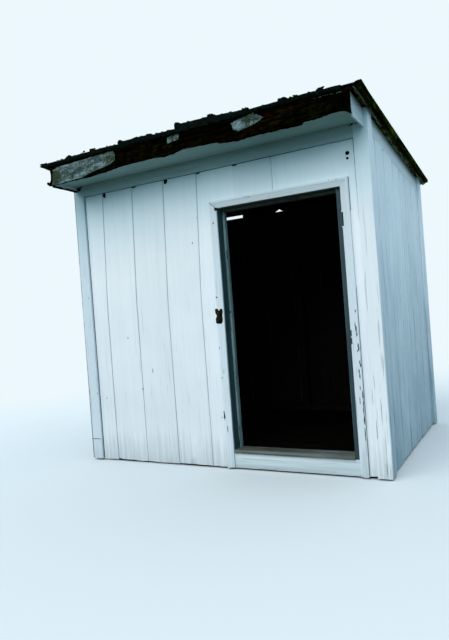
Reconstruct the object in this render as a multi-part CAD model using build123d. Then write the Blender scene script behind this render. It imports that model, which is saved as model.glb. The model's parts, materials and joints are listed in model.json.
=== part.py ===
from build123d import *
import math
import os

# Garden shed, eight feet by six, with a single-slope roof that falls to the back.
# Millimetres. X runs along the front from left to right, Y from the front to the back, Z up.
# The origin is on the ground, under the middle of the roof's outline.

# Frame of full-sawn timber
frame_width = 2438
frame_depth = 1829
stud_width = 51
stud_depth = 102
stud_spacing = 610
plate_thickness = 51

# Floor
sill_height = 102
joist_spacing = 400
plank_thickness = 22
plank_width = 140
plank_gap = 2

# Boards and trim on the outside
siding_thickness = 19
trim_thickness = 19
siding_ground_gap = 12
channel_width = 35
channel_depth = 6
front_board_pitch = 305
front_first_joint = 292
side_board_pitch = 249
side_first_joint = 221
front_corner_width = 98
side_corner_width = 89
front_frieze_height = 89
side_frieze_height = 125
back_frieze_height = 89

# Roof
roof_pitch = 4.2
roof_over_front = 318
roof_over_back = 148
roof_over_side = 50
roofing_thickness = 13
deck_thickness = 22
rafter_width = 51
rafter_depth = 102
rafter_spacing = 813
front_drip = 20
back_drip = 10
side_drip = 4
verge_thickness = 19
verge_depth = 35

# Boxed eave over the door
fascia_thickness = 25
fascia_height = 140
soffit_thickness = 12
soffit_over_plate = 19
return_thickness = 12
return_under_soffit = 38
return_cove = 28
fascia_end_hollow = 12

# Doorway, measured from the wall's right corner and from the floor
door_to_corner = 242
door_width = 905
door_height = 1809
wall_over_door = 370.5
header_height = 102
jamb_thickness = 25
hinge_jamb_thickness = 50
stop_thickness = 16
stop_width = 38
stop_setback = 69
threshold_thickness = 22
threshold_nose = 14
casing_width = 57
casing_outer_edge = 19
casing_inner_edge = 11
casing_reveal = 5
hinge_side_reveal = 30
hinge_height = 102
hinge_width = 35
hinge_recess = 3
hinge_notch = 9
lower_hinge_over_floor = 816
upper_hinge_under_head = 213
strike_height = 30
strike_depth = 12
strike_over_floor = 1048

# Latch keeper left on the casing
keeper_width = 42
keeper_height = 112
keeper_thickness = 3
keeper_over_floor = 1019
keeper_hole = 7
keeper_staple = 9
keeper_staple_reach = 16

# Two holes bored through the boards beside the door's head, each by its distance from the wall's
# corner, its depth under the boards' top and its size
wall_holes = ((149, 176.5, 25), (151, 210.5, 15))

# Blocks between the rafters over the back wall: the first is a stub, the second is broken out at its foot
block_thickness = 22
block_stub = 150
chip_to_rafter = 138
chip_width = 132
chip_height = 45
chip_rim = ((0, 0), (1, 0), (1, 0.42), (0.86, 0.5), (0.66, 1), (0.34, 0.5))

# Rotten places in the fascia's lower edge, each by its share of the length and the depth lost
fascia_rot = (
    (0.0609, 0), (0.1015, 4), (0.1747, 14), (0.2356, 38), (0.2924, 25), (0.4224, 24), (0.4509, 14),
    (0.4793, 19), (0.5118, 41), (0.5666, 32), (0.6255, 26), (0.6328, 14), (0.6864, 3), (0.7311, 9),
    (0.8712, 5), (0.8773, 20), (0.9220, 21), (0.9525, 32), (0.9789, 31), (0.9911, 16),
)

# Outer size of the walls and their place under the roof
cladding = siding_thickness + trim_thickness
wall_width = frame_width + 2 * cladding
wall_depth = frame_depth + 2 * cladding
left = -wall_width / 2
right = wall_width / 2
front = -(wall_depth + roof_over_back - roof_over_front) / 2
back = front + wall_depth

# Faces of the frame
frame_left = left + cladding
frame_right = right - cladding
frame_front = front + cladding
frame_back = back - cladding
room_front = frame_front + stud_depth
room_back = frame_back - stud_depth
room_left = frame_left + stud_depth
room_right = frame_right - stud_depth

# Levels from the ground up to the front plate and the soffit
floor_level = sill_height + plank_thickness
stud_foot = floor_level + plate_thickness
door_head = floor_level + door_height
front_plate_top = door_head + wall_over_door
soffit_underside = front_plate_top + soffit_over_plate
soffit_top = soffit_underside + soffit_thickness

# Lines of the roof's slope, from the rafters' seat on the front plate upwards
slope = math.tan(math.radians(roof_pitch))
plumb = 1 / math.cos(math.radians(roof_pitch))
roof_front = front - roof_over_front
roof_back = back + roof_over_back


def under_rafters(y):
    return front_plate_top - slope * (y - frame_front)


def under_deck(y):
    return under_rafters(y) + rafter_depth * plumb


def under_side_frieze(y):
    return under_deck(y) - side_frieze_height


def under_roofing(y):
    return under_deck(y) + deck_thickness * plumb


def roof_top(y):
    return under_roofing(y) + roofing_thickness * plumb


# Levels under the roof
back_plate_top = under_rafters(room_back)
front_boards_top = soffit_underside
back_boards_top = under_rafters(back)
fascia_front = roof_front + front_drip
fascia_back = fascia_front + fascia_thickness
rafter_tail = roof_back - back_drip

# Doorway
opening_right = right - door_to_corner
opening_left = opening_right - door_width
rough_left = opening_left - jamb_thickness
rough_right = opening_right + hinge_jamb_thickness
rough_head = door_head + jamb_thickness
header_top = rough_head + header_height
threshold_top = floor_level + threshold_thickness

parts = {}


def block(x0, x1, y0, y1, z0, z1):
    box = Box(x1 - x0, y1 - y0, z1 - z0, align=(Align.MIN, Align.MIN, Align.MIN))
    return Pos(x0, y0, z0) * box


def along_x(outline, x0, x1):
    # outline is a list of (y, z)
    return Pos(x0, 0, 0) * extrude(Plane.YZ * Polygon(*outline, align=None), x1 - x0, dir=(1, 0, 0))


def along_y(outline, y0, y1):
    # outline is a list of (x, z)
    return Pos(0, y0, 0) * extrude(Plane.XZ * Polygon(*outline, align=None), y1 - y0, dir=(0, 1, 0))


def along_z(outline, z0, z1):
    # outline is a list of (x, y)
    return Pos(0, 0, z0) * extrude(Polygon(*outline, align=None), z1 - z0, dir=(0, 0, 1))


def under_slope(x0, x1, y0, y1, z0, top):
    # a block whose top follows the roof
    return along_x([(y0, z0), (y1, z0), (y1, top(y1)), (y0, top(y0))], x0, x1)


def sloping_sheet(x0, x1, y0, y1, top, bottom):
    return along_x([(y0, bottom(y0)), (y1, bottom(y1)), (y1, top(y1)), (y0, top(y0))], x0, x1)


def mirrored(shape):
    return mirror(shape, about=Plane.YZ)


def steps(first, last, spacing):
    # places from first towards last at the spacing, with one at the last place too
    places = [first]
    while places[-1] + 1.5 * spacing < last:
        places.append(places[-1] + spacing)
    places.append(last)
    return places


def channel_profile(start, end, first_joint, pitch, inner, outer):
    # boards seen from above, with a channel at each joint: pairs of (along, across)
    into = inner + (outer - inner) * (1 - channel_depth / siding_thickness)
    profile = [(start, inner), (start, outer)]
    joint = first_joint
    while joint < end:
        channel_end = joint + channel_width
        if joint > start and channel_end < end:
            profile += [(joint, outer), (joint, into), (channel_end, into), (channel_end, outer)]
        joint += pitch
    profile += [(end, outer), (end, inner)]
    return profile


# Sills and floor

parts["sills"] = [
    block(frame_left, frame_right, frame_front, room_front, 0, sill_height),
    block(frame_left, frame_right, room_back, frame_back, 0, sill_height),
]

joist_places = steps(frame_left, frame_right - stud_width, joist_spacing)
parts["floor_joists"] = [
    block(x, x + stud_width, room_front, room_back, 0, sill_height) for x in joist_places
]

plank_count = round(frame_depth / (plank_width + plank_gap))
plank_step = (frame_depth + plank_gap) / plank_count
parts["floor_planks"] = []
for i in range(plank_count):
    plank_y = frame_front + i * plank_step
    plank_end = plank_y + plank_step - plank_gap
    plank = block(frame_left, frame_right, plank_y, plank_end, sill_height, floor_level)
    parts["floor_planks"].append(plank)

# Plates, studs and header

parts["front_plates"] = [
    block(frame_left, rough_left, frame_front, room_front, floor_level, stud_foot),
    block(rough_right, frame_right, frame_front, room_front, floor_level, stud_foot),
    block(frame_left, frame_right, frame_front, room_front,
          front_plate_top - plate_thickness, front_plate_top),
]
parts["back_plates"] = [
    block(frame_left, frame_right, room_back, frame_back, floor_level, stud_foot),
    block(frame_left, frame_right, room_back, frame_back,
          back_plate_top - plate_thickness, back_plate_top),
]
side_plate = block(frame_left, room_left, room_front, room_back, floor_level, stud_foot)
parts["side_plates"] = [side_plate, mirrored(side_plate)]

front_stud_places = steps(frame_left, rough_left - stud_width, stud_spacing)
front_stud_places += [rough_right, frame_right - stud_width]
front_stud_top = front_plate_top - plate_thickness
parts["front_studs"] = [
    block(x, x + stud_width, frame_front, room_front, stud_foot, front_stud_top)
    for x in front_stud_places
]
for share in (1 / 3, 2 / 3):
    cripple_x = rough_left + share * (rough_right - rough_left) - stud_width / 2
    cripple = block(cripple_x, cripple_x + stud_width, frame_front, room_front,
                    header_top, front_stud_top)
    parts["front_studs"].append(cripple)
parts["door_header"] = [
    block(rough_left, rough_right, frame_front, room_front, rough_head, header_top)
]

back_stud_top = back_plate_top - plate_thickness
parts["back_studs"] = [
    block(x, x + stud_width, room_back, frame_back, stud_foot, back_stud_top)
    for x in steps(frame_left, frame_right - stud_width, stud_spacing)
]

# The side studs run up to the end rafters, which stand over these walls.
parts["left_studs"] = [
    under_slope(frame_left, room_left, y, y + stud_width, stud_foot, under_rafters)
    for y in steps(room_front, room_back - stud_width, stud_spacing)
]
parts["right_studs"] = [mirrored(stud) for stud in parts["left_studs"]]

# Channel boards on the four walls

front_outer = front + trim_thickness
back_outer = back - trim_thickness
left_outer = left + trim_thickness

left_run = channel_profile(frame_left, rough_left, left + front_first_joint, front_board_pitch,
                           frame_front, front_outer)
over_run = channel_profile(rough_left, rough_right, left + front_first_joint, front_board_pitch,
                           frame_front, front_outer)
parts["front_wall_left"] = [along_z(left_run, siding_ground_gap, front_boards_top)]
parts["front_wall_over_door"] = [along_z(over_run, rough_head, front_boards_top)]
right_boards = block(rough_right, frame_right, front_outer, frame_front,
                     siding_ground_gap, front_boards_top)
for from_corner, under_top, hole_size in wall_holes:
    bore_place = Pos(right - from_corner, frame_front, front_boards_top - under_top)
    right_boards -= bore_place * Rot(90, 0, 0) * Cylinder(hole_size / 2, 4 * siding_thickness)
parts["front_wall_right"] = [right_boards]
parts["door_apron"] = [
    block(rough_left, rough_right, front_outer, frame_front, siding_ground_gap, floor_level)
]

back_run = channel_profile(frame_left, frame_right, left + front_first_joint, front_board_pitch,
                           frame_back, back_outer)
parts["back_wall"] = [along_z(back_run, siding_ground_gap, back_boards_top)]

side_run = channel_profile(front_outer, back_outer, front + side_first_joint, side_board_pitch,
                           frame_left, left_outer)
side_boards = along_z([(x, y) for y, x in side_run], siding_ground_gap, roof_top(front))
side_shape = under_slope(left, room_left, front_outer, back_outer, siding_ground_gap, under_side_frieze)
parts["left_wall"] = [side_boards & side_shape]
parts["right_wall"] = [mirrored(parts["left_wall"][0])]

# Corner boards: those on the front and back are notched round the end rafters


def end_corner_board(y0, y1, shoulder):
    rise = under_deck(y1)
    outline = [
        (left, siding_ground_gap), (left + front_corner_width, siding_ground_gap),
        (left + front_corner_width, shoulder), (frame_left, shoulder),
        (frame_left, rise), (left, rise),
    ]
    return along_y(outline, y0, y1)


front_corner = end_corner_board(front, front_outer, front_boards_top)
parts["corner_boards_front"] = [front_corner, mirrored(front_corner)]
back_corner = end_corner_board(back_outer, back, back_boards_top)
parts["corner_boards_back"] = [back_corner, mirrored(back_corner)]
side_corner_front = front_outer + side_corner_width
side_corner_back = back_outer - side_corner_width
parts["corner_boards_left"] = [
    under_slope(left, left_outer, front_outer, side_corner_front, siding_ground_gap, under_deck),
    under_slope(left, left_outer, side_corner_back, back_outer, siding_ground_gap, under_deck),
]
parts["corner_boards_right"] = [mirrored(board) for board in parts["corner_boards_left"]]

# Friezes: those of the front and back lie over the boards, and the sides' lie flush above them

frieze_left = left + front_corner_width
frieze_right = right - front_corner_width
parts["front_frieze"] = [
    block(frieze_left, frieze_right, front, front_outer,
          front_boards_top - front_frieze_height, front_boards_top)
]
parts["back_frieze"] = [
    block(frieze_left, frieze_right, back_outer, back,
          back_boards_top - back_frieze_height, back_boards_top)
]
side_frieze = sloping_sheet(left_outer, frame_left, front_outer, back_outer, under_deck, under_side_frieze)
parts["side_friezes"] = [side_frieze, mirrored(side_frieze)]

# Door jambs with their stops, threshold and mitred casing

jamb_front = front_outer
stop_front = jamb_front + stop_setback
stop_back = stop_front + stop_width


def side_jamb(face, inward, thickness):
    # inward is 1 where the doorway lies to the right of the jamb, and -1 to its left
    back_face = face - inward * thickness
    stop_face = face + inward * stop_thickness
    body = block(min(face, back_face), max(face, back_face), jamb_front, room_front,
                 floor_level, rough_head)
    stop = block(min(face, stop_face), max(face, stop_face), stop_front, stop_back,
                 threshold_top, door_head)
    return body + stop


left_jamb = side_jamb(opening_left, 1, jamb_thickness)
strike_centre = floor_level + strike_over_floor
strike = block(opening_left - strike_depth, opening_left, jamb_front + stop_setback / 3,
               stop_front - stop_setback / 3, strike_centre - strike_height / 2,
               strike_centre + strike_height / 2)
parts["jamb_left"] = [left_jamb - strike]
# The right jamb carries the hinges and is thicker, so its front edge shows beside the casing.
right_jamb = side_jamb(opening_right, -1, hinge_jamb_thickness)
hinge_centres = (floor_level + lower_hinge_over_floor, door_head - upper_hinge_under_head)
for hinge_z in hinge_centres:
    leaf = block(opening_right, opening_right + hinge_recess, jamb_front, jamb_front + hinge_width,
                 hinge_z - hinge_height / 2, hinge_z + hinge_height / 2)
    right_jamb -= leaf
parts["jamb_right"] = [right_jamb]
head_jamb = block(opening_left, opening_right, jamb_front, room_front, door_head, rough_head)
head_stop = block(opening_left + stop_thickness, opening_right - stop_thickness, stop_front, stop_back,
                  door_head - stop_thickness, door_head)
parts["jamb_head"] = [head_jamb + head_stop]

threshold_front = front_outer - threshold_nose
threshold_bevel = threshold_thickness / 2
threshold_outline = [
    (threshold_front, floor_level), (room_front, floor_level), (room_front, threshold_top),
    (jamb_front, threshold_top), (threshold_front, threshold_top - threshold_bevel),
]
parts["threshold"] = [along_x(threshold_outline, opening_left, opening_right)]

casing_in_left = opening_left - casing_reveal
casing_in_right = opening_right + hinge_side_reveal
casing_out_left = casing_in_left - casing_width
casing_out_right = casing_in_right + casing_width
casing_in_head = door_head + casing_reveal
casing_out_head = casing_in_head + casing_width
casing_outer_face = front_outer - casing_outer_edge
casing_inner_face = front_outer - casing_inner_edge


def casing_leg(outer_x, inner_x):
    # the face tapers towards the doorway, and the top is cut to a mitre
    section = [(outer_x, front_outer), (outer_x, casing_outer_face), (inner_x, casing_inner_face),
               (inner_x, front_outer)]
    outline = [(outer_x, siding_ground_gap), (inner_x, siding_ground_gap), (inner_x, casing_in_head),
               (outer_x, casing_out_head)]
    length = along_z(section, siding_ground_gap, casing_out_head)
    return length & along_y(outline, casing_outer_face, front_outer)


parts["casing_left"] = [casing_leg(casing_out_left, casing_in_left)]
right_leg = casing_leg(casing_out_right, casing_in_right)
for hinge_z in hinge_centres:
    # the casing's edge was notched for the hinge's knuckle
    right_leg -= block(casing_in_right, casing_in_right + hinge_notch, casing_outer_face, front_outer,
                       hinge_z - hinge_height / 2, hinge_z + hinge_height / 2)
parts["casing_right"] = [right_leg]
head_section = [(front_outer, casing_out_head), (casing_outer_face, casing_out_head),
                (casing_inner_face, casing_in_head), (front_outer, casing_in_head)]
head_outline = [(casing_out_left, casing_out_head), (casing_in_left, casing_in_head),
                (casing_in_right, casing_in_head), (casing_out_right, casing_out_head)]
head_length = along_x(head_section, casing_out_left, casing_out_right)
parts["casing_head"] = [head_length & along_y(head_outline, casing_outer_face, front_outer)]

# Latch keeper: a rusty plate with a staple, seated on the casing's tapered face

taper = math.degrees(math.atan2(casing_outer_edge - casing_inner_edge, casing_width))
keeper_x = (casing_out_left + casing_in_left) / 2
keeper_y = (casing_outer_face + casing_inner_face) / 2
keeper_centre = floor_level + keeper_over_floor
keeper_seat = Pos(keeper_x, keeper_y, keeper_centre) * Rot(0, 0, taper) * Rot(90, 0, 0)
keeper_round = keeper_width / 2
plate_outline = Pos(0, keeper_round / 2) * Rectangle(keeper_width, keeper_height - keeper_round)
plate_outline += Pos(0, keeper_round - keeper_height / 2) * Circle(keeper_round)
plate_outline -= Pos(0, keeper_height / 2 - keeper_round / 2) * Circle(keeper_hole / 2)
keeper_plate = extrude(plate_outline, keeper_thickness)
staple_block = Box(keeper_staple, keeper_width * 0.7, keeper_staple_reach,
                   align=(Align.CENTER, Align.CENTER, Align.MIN))
staple_hole = Rot(0, 90, 0) * Cylinder(keeper_staple / 2, 2 * keeper_width)
staple_eye = Pos(0, 0, keeper_staple_reach / 2) * staple_hole
keeper_staple_bar = Pos(keeper_width / 4, 0, keeper_thickness) * (staple_block - staple_eye)
parts["latch_keeper"] = [keeper_seat * (keeper_plate + keeper_staple_bar)]

# Rafters, seated on the plates with birdsmouth cuts, their front tails cut level to carry the soffit

rafter_outline = [
    (fascia_back, soffit_top), (frame_front, soffit_top), (frame_front, front_plate_top),
    (room_front, front_plate_top), (room_front, under_rafters(room_front)),
    (room_back, back_plate_top), (frame_back, back_plate_top),
    (frame_back, under_rafters(frame_back)), (rafter_tail, under_rafters(rafter_tail)),
    (rafter_tail, under_deck(rafter_tail)), (fascia_back, under_deck(fascia_back)),
]
rafter_places = [frame_left]
while rafter_places[-1] + 1.5 * rafter_spacing < frame_right:
    rafter_places.append(frame_left + len(rafter_places) * rafter_spacing - rafter_width / 2)
rafter_places.append(frame_right - rafter_width)
parts["rafters"] = [along_x(rafter_outline, x, x + rafter_width) for x in rafter_places]

# Blocks between the rafters on the back plate

block_front = frame_back - block_thickness
parts["bay_blocks"] = []
for i in range(len(rafter_places) - 1):
    bay_start = rafter_places[i] + rafter_width
    bay_end = rafter_places[i + 1]
    if i == 0:
        bay_start = bay_end - block_stub
    bay_block = under_slope(bay_start, bay_end, block_front, frame_back, back_plate_top, under_deck)
    if i == 1:
        chip_foot = back_plate_top - 1
        chip_left = bay_start + chip_to_rafter
        chip = [(chip_left + across * chip_width, chip_foot + up * chip_height) for across, up in chip_rim]
        bay_block -= along_y(chip, block_front - 1, frame_back + 1)
    parts["bay_blocks"].append(bay_block)

# Boxed eave: fascia with its rotten lower edge, soffit and returns

box_left = frame_left - return_thickness
box_right = frame_right + return_thickness
fascia_top = under_deck(fascia_front)
fascia_bottom = fascia_top - fascia_height
fascia_points = [(box_left, fascia_top), (box_left, fascia_bottom)]
fascia_length = box_right - box_left
fascia_points += [(box_left + share * fascia_length, fascia_bottom + loss) for share, loss in fascia_rot]
fascia_points += [(box_right, fascia_bottom), (box_right, fascia_top)]
fascia = along_y(fascia_points, fascia_front, fascia_back)
fascia &= under_slope(box_left, box_right, fascia_front, fascia_back, fascia_bottom, under_deck)
hollow_radius = (fascia_height**2 / 4 + fascia_end_hollow**2) / (2 * fascia_end_hollow)
hollow = Pos(box_left + fascia_end_hollow - hollow_radius, fascia_front, fascia_top - fascia_height / 2)
fascia -= hollow * Rot(90, 0, 0) * Cylinder(hollow_radius, 4 * fascia_thickness)
parts["fascia"] = [fascia]

parts["soffit"] = [
    block(frame_left, frame_right, fascia_back, frame_front, soffit_underside, soffit_top)
]

return_underside = soffit_underside - return_under_soffit
return_outline = [
    (front, return_underside), (front, under_deck(front)), (fascia_back, under_deck(fascia_back)),
    (fascia_back, return_underside),
]
cove_place = Pos(box_left, fascia_back, return_underside)
cove = cove_place * Rot(0, 90, 0) * Cylinder(return_cove, 4 * return_thickness)
eave_return = along_x(return_outline, box_left, frame_left) - cove
parts["eave_returns"] = [eave_return, mirrored(eave_return)]

# Deck, roofing and verge boards

roof_left = left - roof_over_side
verge_left = roof_left + side_drip
deck_left = verge_left + verge_thickness


def under_verge(y):
    return under_roofing(y) - verge_depth


parts["roof_deck"] = [
    sloping_sheet(deck_left, -deck_left, fascia_front, rafter_tail, under_roofing, under_deck)
]
parts["roofing"] = [
    sloping_sheet(roof_left, -roof_left, roof_front, roof_back, roof_top, under_roofing)
]
verge_board = sloping_sheet(verge_left, deck_left, fascia_front, rafter_tail, under_roofing, under_verge)
parts["verge_boards"] = [verge_board, mirrored(verge_board)]

os.makedirs("parts", exist_ok=True)
for name, solids in parts.items():
    shape = solids[0] if len(solids) == 1 else Compound(children=solids)
    export_step(shape, f"parts/{name}.step")
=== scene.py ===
"""Garden shed: channel boards, trim, doorway, boxed eave and shingled roof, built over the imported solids."""

import json
import logging
import math
import random
from collections.abc import Callable, Sequence
from dataclasses import dataclass
from enum import Enum
from typing import NamedTuple

import bmesh
import bpy
from mathutils import Matrix, Vector, noise

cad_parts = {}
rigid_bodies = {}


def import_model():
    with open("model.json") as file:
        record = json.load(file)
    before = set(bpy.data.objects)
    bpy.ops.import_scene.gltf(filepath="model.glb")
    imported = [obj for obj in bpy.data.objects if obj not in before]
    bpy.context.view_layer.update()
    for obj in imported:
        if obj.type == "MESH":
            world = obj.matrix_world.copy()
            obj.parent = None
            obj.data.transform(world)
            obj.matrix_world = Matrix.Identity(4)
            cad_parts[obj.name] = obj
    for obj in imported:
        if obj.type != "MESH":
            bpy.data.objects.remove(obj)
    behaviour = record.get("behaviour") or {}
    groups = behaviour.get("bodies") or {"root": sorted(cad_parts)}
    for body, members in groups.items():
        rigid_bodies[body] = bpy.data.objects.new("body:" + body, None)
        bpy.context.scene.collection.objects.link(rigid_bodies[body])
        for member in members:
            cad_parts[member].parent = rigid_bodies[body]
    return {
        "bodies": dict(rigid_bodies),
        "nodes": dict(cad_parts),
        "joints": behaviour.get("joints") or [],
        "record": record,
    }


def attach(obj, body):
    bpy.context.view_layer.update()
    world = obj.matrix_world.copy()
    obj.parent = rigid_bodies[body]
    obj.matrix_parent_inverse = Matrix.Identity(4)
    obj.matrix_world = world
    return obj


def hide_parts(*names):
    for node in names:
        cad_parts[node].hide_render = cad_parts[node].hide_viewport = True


LOG = logging.getLogger("garden_shed")
Point = tuple[float, float, float]
Pair = tuple[float, float]
Mark = tuple[float, float, float, float]
EndLine = Callable[[float, float], float]

# A mix's two colour inputs, and the output of each kind of node that a link starts from where it names none.
UNDER, OVER = 6, 7
MAIN_OUTPUT = {"ShaderNodeMix": 2, "ShaderNodeAttribute": "Fac", "ShaderNodeTexCoord": "Object",
               "ShaderNodeSeparateXYZ": "Z"}
# How far a board's tone moves its pattern, so that no two boards have the same grain.
TONE_SHIFT = (7.3, 5.1, 3.7)


class Axis(Enum):
    """The way a stick of wood runs."""

    X = "x"
    Y = "y"
    Z = "z"


class Side(Enum):
    """The two sides of the shed, by the sign of X."""

    LEFT = -1
    RIGHT = 1


@dataclass(frozen=True)
class ShedLines:
    """The lines that every sub-assembly is set out from, in metres in the row frame."""

    left: float = -1.257
    right: float = 1.257
    front: float = -0.8675
    back: float = 1.0375
    board: float = 0.019
    trim: float = 0.019
    frame_left: float = -1.219
    frame_right: float = 1.219
    frame_front: float = -0.8295
    frame_back: float = 0.9995
    room_front: float = -0.7275
    foot: float = 0.012
    floor: float = 0.124
    front_plate: float = 2.3035
    soffit: float = 2.3225
    soffit_board: float = 0.012
    slope: float = math.tan(math.radians(4.2))
    rafter: float = 0.102
    deck: float = 0.022
    cover: float = 0.013
    fascia: float = -1.1655
    eave: float = -1.1855
    tail: float = 1.1855
    roof_half: float = 1.307
    hinges: Pair = (0.940, 1.720)
    half_leaf: float = 0.051
    casing_left: float = 0.105
    casing_right: float = 1.045
    casing_head: float = 1.938
    frieze: float = 0.089
    side_frieze: float = 0.125
    first_joint: float = -0.965
    pitch: float = 0.305

    @property
    def plumb(self) -> float:
        """Upright depth of a sheet of unit thickness on the slope."""
        return 1 / math.cos(math.atan(self.slope))

    @property
    def boards_face(self) -> float:
        """The outer face of the front's boards."""
        return self.frame_front - self.board

    def joints(self, count: int) -> list[float]:
        """The first places along X where boards of the front and the back meet."""
        return [self.first_joint + self.pitch * k for k in range(count)]

    def under_rafters(self, y: float) -> float:
        """Height of the rafters' underside at y."""
        return self.front_plate - self.slope * (y - self.frame_front)

    def under_deck(self, y: float) -> float:
        """Height of the deck's underside at y."""
        return self.under_rafters(y) + self.rafter * self.plumb

    def under_cover(self, y: float) -> float:
        """Height of the roofing's underside at y."""
        return self.under_deck(y) + self.deck * self.plumb

    def roof_top(self, y: float) -> float:
        """Height of the roofing's top at y."""
        return self.under_cover(y) + self.cover * self.plumb


LINES = ShedLines()


def linear(hex_colour: str) -> tuple[float, float, float, float]:
    """Turns an sRGB hex colour of six digits to linear red, green, blue and alpha."""
    shares = (int(hex_colour[i:i + 2], 16) / 255 for i in (0, 2, 4))
    return (*(s / 12.92 if s <= 0.04045 else ((s + 0.055) / 1.055) ** 2.4 for s in shares), 1.0)


def span(low: float, high: float, most: float = 1.0, least: float = 0.0) -> dict[str, float]:
    """The settings that stretch the values between low and high over those from least to most."""
    return {"From Min": low, "From Max": high, "To Min": least, "To Max": most}


class NodeBench:
    """The node tree of a material or of the world, while its finish is made."""

    def __init__(self, owner: bpy.types.Material | bpy.types.World) -> None:
        """Clears the owner's tree and starts it with object coordinates.

        Args:
            owner: the material or the world.
        """
        owner.use_nodes = True
        self.owner = owner
        self.tree = owner.node_tree
        self.tree.nodes.clear()
        self.place = self.add("TexCoord")

    def add(self, kind: str, settings: dict | None = None, links: dict | None = None) -> bpy.types.Node:
        """Adds a node with its settings and links.

        Args:
            kind: the node's type, without Blender's prefix.
            settings: values by property name, input name or input number; hex colours are made linear.
            links: for each input name or number, the node that it comes from, or that node and an output.

        Returns:
            The new node.
        """
        node = self.tree.nodes.new("ShaderNode" + kind)
        if kind == "Mix":
            node.data_type = "RGBA"
        for key, value in (settings or {}).items():
            if isinstance(key, str) and hasattr(node, key):
                setattr(node, key, value)
            else:
                node.inputs[key].default_value = linear(value) if isinstance(value, str) else value
        for key, source in (links or {}).items():
            if not isinstance(source, tuple):
                source = (source, MAIN_OUTPUT.get(source.bl_idname, 0))
            self.tree.links.new(source[0].outputs[source[1]], node.inputs[key])
        return node

    def grained(self, axis: Axis, squeeze: float, offset: float) -> bpy.types.Node:
        """Squeezes the object coordinates along the grain, so that a pattern runs with the wood.

        Args:
            axis: the way that the grain runs.
            squeeze: the coordinates' scale along it.
            offset: moves the pattern, so that two layers differ.

        Returns:
            The node of the new coordinates.
        """
        tone = self.add("Attribute", {"attribute_name": "tone"})
        shift = self.add("VectorMath", {"operation": "MULTIPLY_ADD", 1: TONE_SHIFT}, {0: tone, 2: self.place})
        scale = tuple(squeeze if axis.value == letter else 1.0 for letter in "xyz")
        return self.add("Mapping", {"Location": (offset, offset, offset), "Scale": scale}, {"Vector": shift})

    def pattern(self, size: float, limits: dict[str, float], where: bpy.types.Node | None = None,
                **look: float) -> tuple[bpy.types.Node, bpy.types.Node]:
        """Adds a noise pattern and the mask that is cut from it.

        Args:
            size: the pattern's real size in metres.
            limits: the mask's span.
            where: the coordinates, or None for those of the object.
            look: the noise's Detail, Roughness and Distortion.

        Returns:
            The noise and the mask.
        """
        cloud = self.add("TexNoise", {"Scale": 1 / size, **look}, {"Vector": where or self.place})
        return cloud, self.add("MapRange", limits, {"Value": cloud})

    def close(self, colour: bpy.types.Node, height: bpy.types.Node, strength: float, depth: float,
              gloss: dict[str, float], rough: bpy.types.Node | None = None) -> bpy.types.Material:
        """Adds the relief, the shader and the output.

        Args:
            colour: the node of the surface's colour.
            height: the node of its relief.
            strength: how strongly the relief shows.
            depth: the relief's depth in metres.
            gloss: the shader's own numbers.
            rough: the node of its roughness, where that varies.

        Returns:
            The finished material.
        """
        bump = self.add("Bump", {"Strength": strength, "Distance": depth}, {"Height": height})
        links = {"Base Color": colour, "Normal": bump, **({"Roughness": rough} if rough else {})}
        self.add("OutputMaterial", {}, {"Surface": self.add("BsdfPrincipled", gloss, links)})
        return self.owner


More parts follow.
